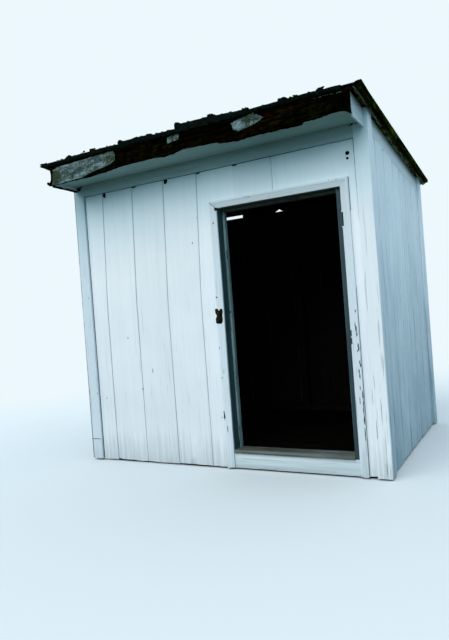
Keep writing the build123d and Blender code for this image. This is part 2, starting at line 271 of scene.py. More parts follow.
@dataclass(frozen=True)
class OldHousePaint:
    """Brushed oil paint on softwood boards, decades old: chalky, streaked along the grain, flaked in spots.

    The eye reads chalky white with soft grey streaks, dark flecks of bare wood, and green by the ground.
    """

    name: str
    axis: Axis
    paint: str = "e3edf3"
    chalk: str = "cbd8df"
    bare: str = "4c4f4b"
    moss: str = "6f888b"
    # The colour of soiling and of painted shade in the joints' corners, the creases and the cracks.
    grime_and_shade: str = "48606a"
    streaks: float = 0.25
    flecks: float = -0.02
    damp: float = 0.35
    # How much lighter the top and darker the foot are painted: light and shade by height, with some
    # weathering.
    lighter_top: float = 0.0
    darker_foot: float = 0.0
    # How strongly the eave's shade is painted as a blue-green tint, and its colour.
    tint_strength: float = 0.0
    eave_shade_colour: str = "bfe9f4"
    streak_mm: float = 14.0
    cracks: float = 0.25
    roughness: float = 0.62

    def material(self) -> bpy.types.Material:
        """Builds the paint's material.

        Returns:
            The material.
        """
        bench = NodeBench(bpy.data.materials.new(self.name))
        height = bench.add("SeparateXYZ", {}, {0: bench.place})
        # Streaks some 400 mm long, drawn coarser than the real 3 mm grain so that they show.
        streak, streak_mask = bench.pattern(self.streak_mm / 500, span(0.42, 0.72, self.streaks),
                                            bench.grained(self.axis, 0.035, 0.0), Detail=6.0, Roughness=0.62)
        # Weather blotches about 350 mm across.
        blotch = bench.add("TexNoise", {"Scale": 1 / 0.35, "Detail": 3.0}, {"Vector": bench.place})
        worn = bench.add("Math", {"operation": "MULTIPLY_ADD", 1: 0.35, 2: -0.12}, {0: blotch})
        # The chalky colour grows towards the foot and shrinks at the top: painted light and shade by height,
        # with some weathering.
        chalk_by_height = bench.add("MapRange", span(2.3, 0.4, self.darker_foot, -self.lighter_top), {"Value": height})
        blotches_and_height = bench.add("Math", {"operation": "ADD"}, {0: chalk_by_height, 1: worn})
        chalk_mask = bench.add("Math", {"operation": "ADD", "use_clamp": True}, {0: streak_mask, 1: blotches_and_height})
        coat = bench.add("Mix", {UNDER: self.paint, OVER: self.chalk}, {0: chalk_mask})
        # A blue-green tint, strongest under the eave and fading out 500 mm below it, is painted eave shade.
        eave_shade_mask = bench.add("MapRange", span(1.65, 2.15, self.tint_strength), {"Value": height})
        eave_shaded = bench.add("Mix", {OVER: self.eave_shade_colour}, {0: eave_shade_mask, UNDER: coat})
        # Each board has its own shade.
        tone = bench.add("Attribute", {"attribute_name": "tone"})
        brightness = bench.add("MapRange", span(0.0, 1.0, 1.03, 0.955), {"Value": tone})
        tint = bench.add("HueSaturation", {}, {"Color": eave_shaded, "Value": brightness})
        # Flakes 6 to 25 mm long where the paint has come off the wood, most of them on worn arrises.
        flake = bench.add("TexNoise", {"Scale": 1 / 0.013, "Detail": 4.0, "Roughness": 0.7},
                          {"Vector": bench.grained(self.axis, 0.12, 4.0)})
        where = bench.add("TexNoise", {"Scale": 1 / 0.22, "Detail": 2.0}, {"Vector": bench.place})
        flake_level = bench.add("Math", {"operation": "MULTIPLY_ADD", 1: 0.35}, {0: where, 2: flake})
        arris = bench.add("Attribute", {"attribute_name": "wear"})
        flaking = bench.add("Math", {"operation": "MULTIPLY_ADD", 1: 0.12}, {0: arris, 2: flake_level})
        flake_mask = bench.add("MapRange", span(0.98 - self.flecks, 1.03 - self.flecks), {"Value": flaking})
        flaked = bench.add("Mix", {OVER: self.bare}, {0: flake_mask, UNDER: tint})
        # Checks crack the paint: 2 mm wide and up to 300 mm long, drawn 4 mm wide, most of them low down.
        _, check = bench.pattern(0.011, span(0.63, 0.68, self.cracks), bench.grained(self.axis, 0.03, 9.0),
                                 Detail=2.0, Roughness=0.6)
        low_down = bench.add("MapRange", span(1.6, 0.4, 1.0, 0.25), {"Value": height})
        cracked = bench.add("Math", {"operation": "MULTIPLY"}, {0: check, 1: low_down})
        # Soiling and painted shade sit in the joints' corners and the creases; soiling also sits in those
        # cracks.
        crease = bench.add("Attribute", {"attribute_name": "grime_and_shade"})
        broken = bench.add("MapRange", span(0.3, 0.6, 1.0, 0.55), {"Value": streak})
        grimed_and_shaded = bench.add("Math", {"operation": "MULTIPLY_ADD", "use_clamp": True},
                           {0: crease, 1: broken, 2: cracked})
        soiled_and_shaded = bench.add("Mix", {OVER: self.grime_and_shade}, {0: grimed_and_shaded, UNDER: flaked})
        # Damp and algae rise about 350 mm from the ground.
        splash = bench.add("MapRange", span(0.42, 0.0, self.damp, -0.25), {"Value": height})
        splashed = bench.add("Math", {"operation": "MULTIPLY_ADD", 1: 0.9, "use_clamp": True},
                             {0: streak, 2: splash})
        splash_mask = bench.add("MapRange", span(0.45, 1.25, 0.8), {"Value": splashed})
        damped = bench.add("Mix", {OVER: self.moss}, {0: splash_mask, UNDER: soiled_and_shaded})
        # The wood's grain and the brush marks lift the paint by a few tenths of a millimetre.
        raised = bench.add("Math", {"operation": "SUBTRACT"}, {0: streak, 1: flake_mask})
        rough = bench.add("MapRange", span(0.0, 1.0, 0.92, self.roughness), {"Value": flake_mask})
        return bench.close(damped, raised, 0.55, 0.0012, {"Specular IOR Level": 0.35}, rough)


@dataclass(frozen=True)
class SawnTimber:
    """Rough sawn softwood, never painted: saw fuzz, dark grain lines; near-black defaults paint the room's
    shade.
    """

    name: str
    axis: Axis
    wood: str = "15120f"
    grain: str = "080706"
    grey_bloom: str = "1d1c19"
    tint_strength: float = 0.4
    grain_mm: float = 14.0
    depth: float = 0.0015
    roughness: float = 0.85
    shine: float = 0.05

    def material(self) -> bpy.types.Material:
        """Builds the timber's material.

        Returns:
            The material.
        """
        bench = NodeBench(bpy.data.materials.new(self.name))
        lines, line_mask = bench.pattern(self.grain_mm / 500, span(0.35, 0.62),
                                         bench.grained(self.axis, 0.04, 1.0),
                                         Detail=8.0, Roughness=0.7, Distortion=0.4)
        wood = bench.add("Mix", {UNDER: self.grain, OVER: self.wood}, {0: line_mask})
        # Grey blooms about 180 mm across.
        _, patch_mask = bench.pattern(0.18, span(0.4, 0.75, self.tint_strength), Detail=4.0)
        aged = bench.add("Mix", {OVER: self.grey_bloom}, {0: patch_mask, UNDER: wood})
        return bench.close(aged, lines, 0.8, self.depth,
                           {"Specular IOR Level": self.shine, "Roughness": self.roughness})


@dataclass(frozen=True)
class RottenWood:
    """Softwood rotted soft in the rain: nearly black, with olive grain, red-brown rot and black tar runs."""

    name: str
    axis: Axis
    black: str = "020200"
    olive: str = "1e1a07"
    brown: str = "280a05"
    moss: str = "0e1302"
    depth: float = 0.004
    soot: float = 1.0

    def material(self) -> bpy.types.Material:
        """Builds the rotten wood's material.

        Returns:
            The material.
        """
        bench = NodeBench(bpy.data.materials.new(self.name))
        # Soft grain 10 mm apart and 200 mm long, wider than in sound wood because the summer wood has gone.
        grain, line = bench.pattern(0.02, span(0.47, 0.68), bench.grained(self.axis, 0.05, 2.0),
                                    Detail=7.0, Roughness=0.72, Distortion=0.5)
        lined = bench.add("Mix", {UNDER: self.black, OVER: self.olive}, {0: line})
        # Red-brown rot in patches about 80 mm across.
        _, rot = bench.pattern(0.11, span(0.54, 0.66, 0.75), Detail=4.0)
        reddish = bench.add("Math", {"operation": "MULTIPLY"}, {0: rot, 1: line})
        rotted = bench.add("Mix", {OVER: self.brown}, {0: reddish, UNDER: lined})
        # Moss in patches about 200 mm across.
        _, growth = bench.pattern(0.25, span(0.5, 0.62, 0.7), Detail=6.0, Roughness=0.65)
        mossy = bench.add("Mix", {OVER: self.moss}, {0: growth, UNDER: rotted})
        # Tar has run down from the roofing in threads 8 mm wide.
        _, runs = bench.pattern(0.03, span(0.57, 0.64, 0.85), bench.grained(Axis.Z, 0.08, 6.0), Detail=3.0)
        tarred = bench.add("Mix", {OVER: self.black}, {0: runs, UNDER: mossy})
        # Soft pits 10 to 30 mm long hold soot, so that the surface reads as crumbling.
        _, pits = bench.pattern(0.02, span(0.56, 0.44, self.soot), bench.grained(self.axis, 0.4, 8.0),
                                Detail=5.0, Roughness=0.75)
        pitted = bench.add("Mix", {OVER: self.black}, {0: pits, UNDER: tarred})
        return bench.close(pitted, grain, 0.9, self.depth, {"Specular IOR Level": 0.0, "Roughness": 0.95})


@dataclass(frozen=True)
class MineralFelt:
    """Bitumen felt shingles with mineral grit, nearly black, with moss and lichen: matt and speckled."""

    name: str = "mineral_felt_shingle"
    felt: str = "010202"
    grit: str = "0e2420"
    moss: str = "0c1406"
    lichen: str = "22302a"

    def material(self) -> bpy.types.Material:
        """Builds the felt's material.

        Returns:
            The material.
        """
        bench = NodeBench(bpy.data.materials.new(self.name))
        # Grit of 2 mm, drawn at 5 mm so that it shows.
        grains, grit = bench.pattern(0.005, span(0.5, 0.68), Detail=3.0)
        base = bench.add("Mix", {UNDER: self.felt, OVER: self.grit}, {0: grit})
        # Each shingle has its own shade.
        tone = bench.add("Attribute", {"attribute_name": "tone"})
        shade = bench.add("MapRange", span(0.0, 1.0, 1.45, 0.65), {"Value": tone})
        toned = bench.add("HueSaturation", {}, {"Color": base, "Value": shade})
        # Moss cushions 40 mm across gather in patches.
        _, moss = bench.pattern(0.06, span(0.5, 0.62, 0.85), Detail=6.0, Roughness=0.7)
        mossy = bench.add("Mix", {OVER: self.moss}, {0: moss, UNDER: toned})
        # Round lichen crusts about 8 mm across stand some 35 mm apart.
        crust = bench.add("TexVoronoi", {"Scale": 1 / 0.035, "Randomness": 1.0}, {"Vector": bench.place})
        crust_mask = bench.add("MapRange", span(0.13, 0.08, 0.5), {"Value": crust})
        crusted = bench.add("Mix", {OVER: self.lichen}, {0: crust_mask, UNDER: mossy})
        height = bench.add("Math", {"operation": "MULTIPLY_ADD", 1: 1.6}, {0: moss, 2: grains})
        return bench.close(crusted, height, 0.8, 0.002, {"Specular IOR Level": 0.03, "Roughness": 0.95})


@dataclass(frozen=True)
class LichenedPaint:
    """Paint flakes left on the rotten fascia, grown over with lichen: grey-white with grey-green crusts."""

    name: str = "lichened_paint_flakes"
    paint: str = "2b4145"
    pale: str = "7f9698"
    lichen: str = "1e2f0a"
    shadow: str = "081203"

    def material(self) -> bpy.types.Material:
        """Builds the material of the paint flakes.

        Returns:
            The material.
        """
        bench = NodeBench(bpy.data.materials.new(self.name))
        # Brush marks and chalk in strokes about 60 mm long.
        _, pale = bench.pattern(0.025, span(0.4, 0.66), bench.grained(Axis.X, 0.3, 3.0),
                                Detail=6.0, Roughness=0.6)
        coat = bench.add("Mix", {UNDER: self.paint, OVER: self.pale}, {0: pale})
        # Lichen crusts 8 to 20 mm across, thick where the piece's wear says that they grow.
        crusts = bench.add("TexNoise", {"Scale": 1 / 0.017, "Detail": 6.0, "Roughness": 0.85},
                           {"Vector": bench.place})
        growth = bench.add("Attribute", {"attribute_name": "wear"})
        crusting = bench.add("Math", {"operation": "MULTIPLY_ADD", 1: 0.45}, {0: growth, 2: crusts})
        mask = bench.add("MapRange", span(0.61, 0.67, 0.95), {"Value": crusting})
        # Black pits 3 to 6 mm across between the lichen's scales.
        _, pits = bench.pattern(0.008, span(0.5, 0.6), Detail=3.0)
        scales = bench.add("Mix", {UNDER: self.lichen, OVER: self.shadow}, {0: pits})
        grown = bench.add("Mix", {}, {0: mask, UNDER: coat, OVER: scales})
        return bench.close(grown, crusting, 0.8, 0.0015, {"Specular IOR Level": 0.25, "Roughness": 0.85})


@dataclass(frozen=True)
class RustyIron:
    """Wrought iron left in the rain: scaled rust from near black to orange brown, pitted and quite matt."""

    name: str = "rusty_wrought_iron"
    scale_dark: str = "070605"
    rust: str = "463a1a"

    def material(self) -> bpy.types.Material:
        """Builds the iron's material.

        Returns:
            The material.
        """
        bench = NodeBench(bpy.data.materials.new(self.name))
        # Scales of rust about 16 mm across.
        scales, mask = bench.pattern(0.016, span(0.53, 0.62), Detail=5.0, Roughness=0.7)
        colour = bench.add("Mix", {UNDER: self.scale_dark, OVER: self.rust}, {0: mask})
        return bench.close(colour, scales, 0.9, 0.0008, {"Roughness": 0.9, "Specular IOR Level": 0.1})


class Finishes:
    """Every material of the shed, made once."""

    def __init__(self) -> None:
        """Builds the materials."""
        dark = {"bare": "10191a", "grime_and_shade": "0d1518", "damp": 0.5, "streak_mm": 7.0, "cracks": 0.8}
        # Front, trim and left corner boards carry a blue-green tint under the eave: painted eave shade.
        self.front_paint = OldHousePaint(
            "old_white_paint_on_front_boards", Axis.Z, paint="f4f7fb", chalk="c6d4dd", grime_and_shade="3f7083",
            streaks=0.15, darker_foot=0.35, tint_strength=0.5, cracks=0.2).material()
        # The side is painted lighter at the top and darker at the foot, as the light and shade on it.
        self.side_paint = OldHousePaint(
            "worn_white_paint_on_side_boards", Axis.Z, paint="e8f4fd", chalk="84a5b5", grime_and_shade="54788a",
            streaks=0.5, flecks=-0.01, lighter_top=0.45, darker_foot=0.5, streak_mm=8.0, cracks=0.6).material()
        self.casing_paint = OldHousePaint(
            "old_white_paint_on_casing", Axis.Z, paint="d8e3eb", grime_and_shade="3e5661", cracks=0.5).material()
        self.trim_paint = OldHousePaint(
            "old_white_paint_on_upright_trim", Axis.Z, paint="ebf1f6", grime_and_shade="4a6470", streaks=0.2,
            tint_strength=0.55, cracks=0.7).material()
        self.corner_paint = OldHousePaint(
            "duller_white_paint_on_left_corner", Axis.Z, paint="d6e4ee", grime_and_shade="4a6470", darker_foot=0.2,
            tint_strength=0.7, eave_shade_colour="a4c8d4", cracks=0.5).material()
        self.level_trim_paint = OldHousePaint(
            "old_white_paint_on_level_trim", Axis.X, paint="d9e6ec", streaks=0.2, flecks=0.03).material()
        # The frieze's paint is darkened: soiling, and the eave's shade painted in.
        self.shaded_frieze_paint = OldHousePaint(
            "dirty_white_paint_on_frieze", Axis.X, paint="b4cdd2", chalk="8fa9a8", streaks=0.5,
            flecks=0.03).material()
        self.side_level_paint = OldHousePaint(
            "worn_white_paint_on_sloping_trim", Axis.Y, paint="e6f1f8", chalk="9db4c1",
            streaks=0.3).material()
        self.return_paint = OldHousePaint(
            "dull_white_paint_on_eave_ends", Axis.Y, paint="c9dae3", chalk="9db4c1", streaks=0.4,
            flecks=0.0).material()
        self.soffit_paint = OldHousePaint(
            "dull_white_paint_under_eave", Axis.X, paint="9abab9", chalk="769692", streaks=0.5,
            flecks=0.03).material()
        self.jamb_paint = OldHousePaint(
            "dark_paint_on_jambs", Axis.Z, paint="2f555b", chalk="10242a", streaks=0.95, flecks=0.12,
            moss="22331f", **dark).material()
        self.hinge_jamb_paint = OldHousePaint(
            "dark_slate_paint_on_hinge_jamb", Axis.Z, paint="263d44", chalk="101d20", streaks=0.9,
            flecks=0.1, moss="1b291a", **dark).material()
        # The left stop is painted lighter: painted light on its face by the doorway.
        self.lit_stop_paint = OldHousePaint(
            "left_stop_paint_with_painted_light", Axis.Z, paint="83a4a6", chalk="3d5a5f", streaks=0.8, flecks=0.1,
            moss="22331f", **dark).material()
        self.head_paint = OldHousePaint(
            "mossy_dark_paint_on_head_jamb", Axis.X, paint="1f3020", chalk="070e07", bare="060903",
            grime_and_shade="040602", streaks=0.9, flecks=0.12).material()
        self.rot_wood = RottenWood("rotten_fascia_wood", Axis.X).material()
        self.end_rot = RottenWood(
            "rotten_slivers_at_fascia_end", Axis.Z, olive="100503", brown="360704", moss="080a03",
            soot=0.9).material()
        self.fold_moss = RottenWood(
            "moss_in_lines_on_verge", Axis.Y, "070b03", "404d10", "48380f", "556813", 0.003, 0.4).material()
        self.verge_wood = RottenWood(
            "rotten_verge_wood", Axis.Y, "0c0a03", "3f3a12", "4a220c", "34400d", soot=0.5).material()
        self.deck_wood = RottenWood(
            "rotten_deck_wood", Axis.X, "080703", "3f3714", "42280f", "272e0b", soot=0.5).material()
        self.overhang_wood = RottenWood(
            "mossy_underside_of_deck_ends", Axis.X, "2a2712", "8c7c40", "88552a", "6f7c34",
            soot=0.4).material()
        self.eave_moss = RottenWood(
            "moss_under_eave_ends", Axis.Y, "080c05", "252e0c", "2c260d", "303b12", soot=0.6).material()
        # Near-black underside of the deck over the room: painted shade of the room.
        self.deck_underside_shade = SawnTimber(
            "deck_underside_darkened_as_room_shade", Axis.X, "060505", "020202", "080807", shine=0.0).material()
        self.splinter_wood = SawnTimber(
            "splintered_grey_wood", Axis.Y, "b9c6b8", "59604a", "dbe6dd", grain_mm=8).material()
        # Strips beside the trim and under the frieze: painted shade in the creases, with some soiling.
        self.grime_and_shade = SawnTimber("painted_shade_and_soiling_in_creases", Axis.Z, "4b5f68", "28363d", "6a818c").material()
        # Near-black timbers and floor inside the room: painted shade of the room.
        self.upright_timber = SawnTimber("upright_timber_darkened_as_room_shade", Axis.Z).material()
        self.level_timber = SawnTimber("level_timber_darkened_as_room_shade", Axis.X).material()
        self.rafter_timber = SawnTimber("rafter_timber_darkened_as_room_shade", Axis.Y).material()
        self.floor_wood = SawnTimber(
            "trodden_floor_planks", Axis.X, "0a0908", "040403", "100e0c", shine=0.0).material()
        self.sill_wood = SawnTimber("worn_grey_threshold", Axis.X, "5c625e", "2a2d2a", "7a837f").material()
        # Its dark spots serve for flaked paint and, in the recesses, for painted shade.
        self.bare_and_shade_spot = SawnTimber(
            "bare_wood_and_painted_shade_spots", Axis.Z, "232724", "0c0d0a", "30362f").material()
        self.field_felt = MineralFelt(
            "mineral_felt_on_roof_field", "10140f", "2d332e", "1f2a10", "4d574a").material()
        self.felt = MineralFelt().material()
        self.flakes = LichenedPaint().material()
        self.iron = RustyIron().material()


def steps(start: float, end: float, count: int) -> list[float]:
    """The places that divide the way from start to end in count equal steps, both ends included."""
    return [start + (end - start) * i / count for i in range(count + 1)]


def turns(count: int) -> list[float]:
    """The angles of count points round a circle."""
    return [2 * math.pi * k / count for k in range(count)]


def wander(x: float, y: float, z: float, seed: float) -> float:
    """Smooth noise between about -1 and 1 at a place, different for each seed."""
    return noise.noise(Vector((x + 13.7 * seed, y - 7.9 * seed, z + 3.3 * seed)))


def linked(name: str, data: bpy.types.ID) -> bpy.types.Object:
    """Makes an object of a mesh, lamp or camera and links it to the scene.

    Args:
        name: the object's name.
        data: what it shows.

    Returns:
        The new object.
    """
    made = bpy.data.objects.new(name, data)
    bpy.context.scene.collection.objects.link(made)
    return made


def note(mesh: bpy.types.Mesh, label: str, values: Sequence[float]) -> None:
    """Writes one number per point on a mesh, for its finish to read."""
    mesh.attributes.new(label, "FLOAT", "POINT").data.foreach_set("value", values)


class Workpiece:
    """Collects the vertices and faces of one named piece."""

    def __init__(self, name: str) -> None:
        """Starts an empty piece.

        Args:
            name: the piece's name.
        """
        self.name = name
        self.points: list[Point] = []
        self.faces: list[tuple[int, ...]] = []
        self.finish_of: list[int] = []
        self.tone: list[float] = []
        self.wear: list[float] = []
        self.grime_and_shade: list[float] = []

    def sweep(self, rings: Sequence[Sequence[Point]], tone: float = 0.5, segment_finish: Sequence[int] = (),
              cap_finish: int = 0, wear: Sequence[float] = (), grime_and_shade: Sequence[float] = ()) -> None:
        """Joins rings of points to a closed body.

        Args:
            rings: rings with the same number of points.
            tone: the body's own shade, 0 to 1.
            segment_finish: for each side of the ring, the number of its finish.
            cap_finish: the number of the ends' finish.
            wear: for each point of the ring, how worn it is.
            grime_and_shade: for each point of the ring, how much soiling and painted crease shade sits on it.
        """
        start = len(self.points)
        count = len(rings[0])
        for ring in rings:
            self.points.extend(ring)
            self.tone.extend([tone] * count)
            self.wear.extend(wear or [0.0] * count)
            self.grime_and_shade.extend(grime_and_shade or [0.0] * count)
        for i in range(len(rings) - 1):
            a, b = start + i * count, start + (i + 1) * count
            for j in range(count):
                k = (j + 1) % count
                self.faces.append((a + j, a + k, b + k, b + j))
                self.finish_of.append(segment_finish[j] if segment_finish else 0)
        last = start + (len(rings) - 1) * count
        self.faces += [tuple(range(start, start + count)), tuple(range(last, last + count))]
        self.finish_of += [cap_finish, cap_finish]

    def make(self, *finishes: bpy.types.Material, sharp_degrees: float = 38.0) -> bpy.types.Object:
        """Turns the collected bodies to an object.

        Args:
            finishes: the materials, in the order of the finish numbers.
            sharp_degrees: edges bent more than this stay sharp.

        Returns:
            The new object.
        """
        mesh = bpy.data.meshes.new(self.name)
        mesh.from_pydata(self.points, [], self.faces)
        for finish in finishes:
            mesh.materials.append(finish)
        mesh.polygons.foreach_set("material_index", self.finish_of)
        for label, values in (("tone", self.tone), ("wear", self.wear), ("grime_and_shade", self.grime_and_shade)):
            note(mesh, label, values)
        work = bmesh.new()
        work.from_mesh(mesh)
        bmesh.ops.recalc_face_normals(work, faces=work.faces)
        work.to_mesh(mesh)
        work.free()
        mesh.shade_smooth()
        mesh.set_sharp_from_angle(angle=math.radians(sharp_degrees))
        return linked(self.name, mesh)


def rounded(corners: Sequence[Pair], radius: float, flat: float = 0.0) -> tuple[list[Pair], list[float]]:
    """Wears the arrises of an outline.

    Args:
        corners: the outline's corners, in order.
        radius: how much of each corner is worn off.
        flat: longest straight stretch left without a point, or 0 for none.

    Returns:
        The new outline, and for each point how worn it is.
    """
    outline: list[Pair] = []
    wear: list[float] = []
    for i, (u, v) in enumerate(corners):
        before, after = corners[i - 1], corners[(i + 1) % len(corners)]
        towards = []
        for other in (before, after):
            length = math.hypot(other[0] - u, other[1] - v)
            cut = min(radius, length * 0.4)
            towards.append((u + (other[0] - u) * cut / length, v + (other[1] - v) * cut / length))
        middle = ((towards[0][0] + towards[1][0]) / 2 * 0.45 + u * 0.55,
                  (towards[0][1] + towards[1][1]) / 2 * 0.45 + v * 0.55)
        outline += [towards[0], middle, towards[1]]
        wear += [1.0] * 3
        if flat:
            parts = int(math.hypot(after[0] - u, after[1] - v) / flat)
            between = [(u + (after[0] - u) * k / parts, v + (after[1] - v) * k / parts)
                       for k in range(1, parts)]
            outline += between
            wear += [0.0] * len(between)
    return outline, wear


def laid(axis: Axis, u: float, v: float, w: float) -> Point:
    """Places a section's point along the way that the stick runs."""
    return {Axis.X: (w, u, v), Axis.Y: (u, w, v), Axis.Z: (u, v, w)}[axis]


@dataclass
class Stick:
    """A sawn piece of wood: a section swept along one axis, with worn arrises, a bow and uneven ends."""

    axis: Axis
    section: Sequence[Pair]
    start: EndLine
    end: EndLine
    radius: float = 0.0018
    flat: float = 0.03
    step: float = 0.06
    bow: float = 0.0012
    rough: float = 0.0003
    ragged: float = 0.0
    seed: float = 1.0
    finish: int = 0

    def put(self, piece: Workpiece) -> None:
        """Adds the stick to a piece.

        Args:
            piece: the piece that takes it.
        """
        outline, wear = rounded(self.section, self.radius, self.flat)
        middle = (sum(p[0] for p in outline) / len(outline), sum(p[1] for p in outline) / len(outline))
        rows = max(2, round(abs(self.end(*middle) - self.start(*middle)) / self.step))
        seed = self.seed
        rings = []
        for i in range(rows + 1):
            ring = []
            for u, v in outline:
                low, high = self.start(u, v), self.end(u, v)
                low += self.ragged * (wander(u * 45, v * 45, 0, seed) + wander(u * 160, v * 90, 1, seed) / 2)
                w = low + (high - low) * (i / rows)
                du = self.bow * wander(0.3, w * 1.3, 0.0, seed + 2)
                du += self.rough * wander(u * 60, v * 60, w * 22, seed)
                dv = self.bow * wander(w * 1.3, 0.7, 5.0, seed + 3)
                dv += self.rough * wander(v * 60, u * 60, w * 22, seed + 1)
                ring.append(laid(self.axis, u + du, v + dv, w))
            rings.append(ring)
        tone = (math.sin(seed * 12.9898) * 43758.5453) % 1.0
        piece.sweep(rings, tone, (self.finish,) * len(outline), self.finish, wear)


def box_section(u0: float, u1: float, v0: float, v1: float) -> list[Pair]:
    """The corners of a rectangular section between u0 and u1, in either order, and from v0 to v1."""
    low, high = min(u0, u1), max(u0, u1)
    return [(low, v0), (high, v0), (high, v1), (low, v1)]


def level(value: float) -> EndLine:
    """A stick's end that is cut square."""
    return lambda u, v: value


def cut_from(piece: bpy.types.Object, cutters: Sequence[bpy.types.Object]) -> None:
    """Saws or bores cutters out of a piece and removes them.

    Args:
        piece: the object that is cut.
        cutters: closed bodies.
    """
    for cutter in cutters:
        saw = piece.modifiers.new("saw", "BOOLEAN")
        saw.operation = "DIFFERENCE"
        saw.solver = "EXACT"
        saw.object = cutter
    graph = bpy.context.evaluated_depsgraph_get()
    mesh = bpy.data.meshes.new_from_object(piece.evaluated_get(graph))
    piece.modifiers.clear()
    mesh.set_sharp_from_angle(angle=math.radians(38))
    piece.data = mesh
    for cutter in cutters:
        bpy.data.objects.remove(cutter)


def cutter_block(low: Point, high: Point) -> bpy.types.Object:
    """Makes a box-shaped saw cut.

    Args:
        low: its lowest corner.
        high: its highest corner.

    Returns:
        The closed body of the cut.
    """
    block = Workpiece("cut")
    outline = box_section(low[0], high[0], low[1], high[1])
    block.sweep([[(x, y, z) for x, y in outline] for z in (low[2], high[2])])
    return block.make()


def cutter_bore(x: float, z: float, width: float, height: float, depths: Pair, rough: float,
                seed: float) -> bpy.types.Object:
    """Makes a ragged bore along Y.

    Args:
        x: its middle.
        z: its middle's height.
        width: its width.
        height: its height.
        depths: where it starts and ends.
        rough: how far the rim strays, as a share of the size.
        seed: picks the rim's shape.

    Returns:
        The closed body of the bore.
    """
    rim = []
    for turn in turns(18):
        stray = 1 + rough * wander(math.cos(turn) * 1.3, math.sin(turn) * 1.3, 0, seed)
        rim.append((x + width / 2 * stray * math.cos(turn), z + height / 2 * stray * math.sin(turn)))
    bore = Workpiece("bore")
    # The second finish of the bored board, its bare wood darkened as painted shade, shows in the bore.
    bore.sweep([[(u, y, v) for u, v in rim] for y in depths], 0.5, (1,) * 18, 1)
    return bore.make()


def hang(piece: bpy.types.Object, slot: str, *nodes: str) -> None:
    """Puts a piece on the shed.

    Args:
        piece: the finished object.
        slot: the record's slot for its finish; not used.
        nodes: the CAD nodes that it stands for.
    """
    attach(piece, "root")
    if nodes:
        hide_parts(*nodes)
    LOG.info("%s: %d faces, stands for %s", piece.name, len(piece.data.polygons),
             ", ".join(nodes) or "no node")


class BoardPoint(NamedTuple):
    """A point of a board's section: the finish of the side after it, its wear, its soiling and painted shade.
    """

    along: float
    out: float
    finish: int = 0
    wear: float = 0.0
    grime_and_shade: float = 0.0


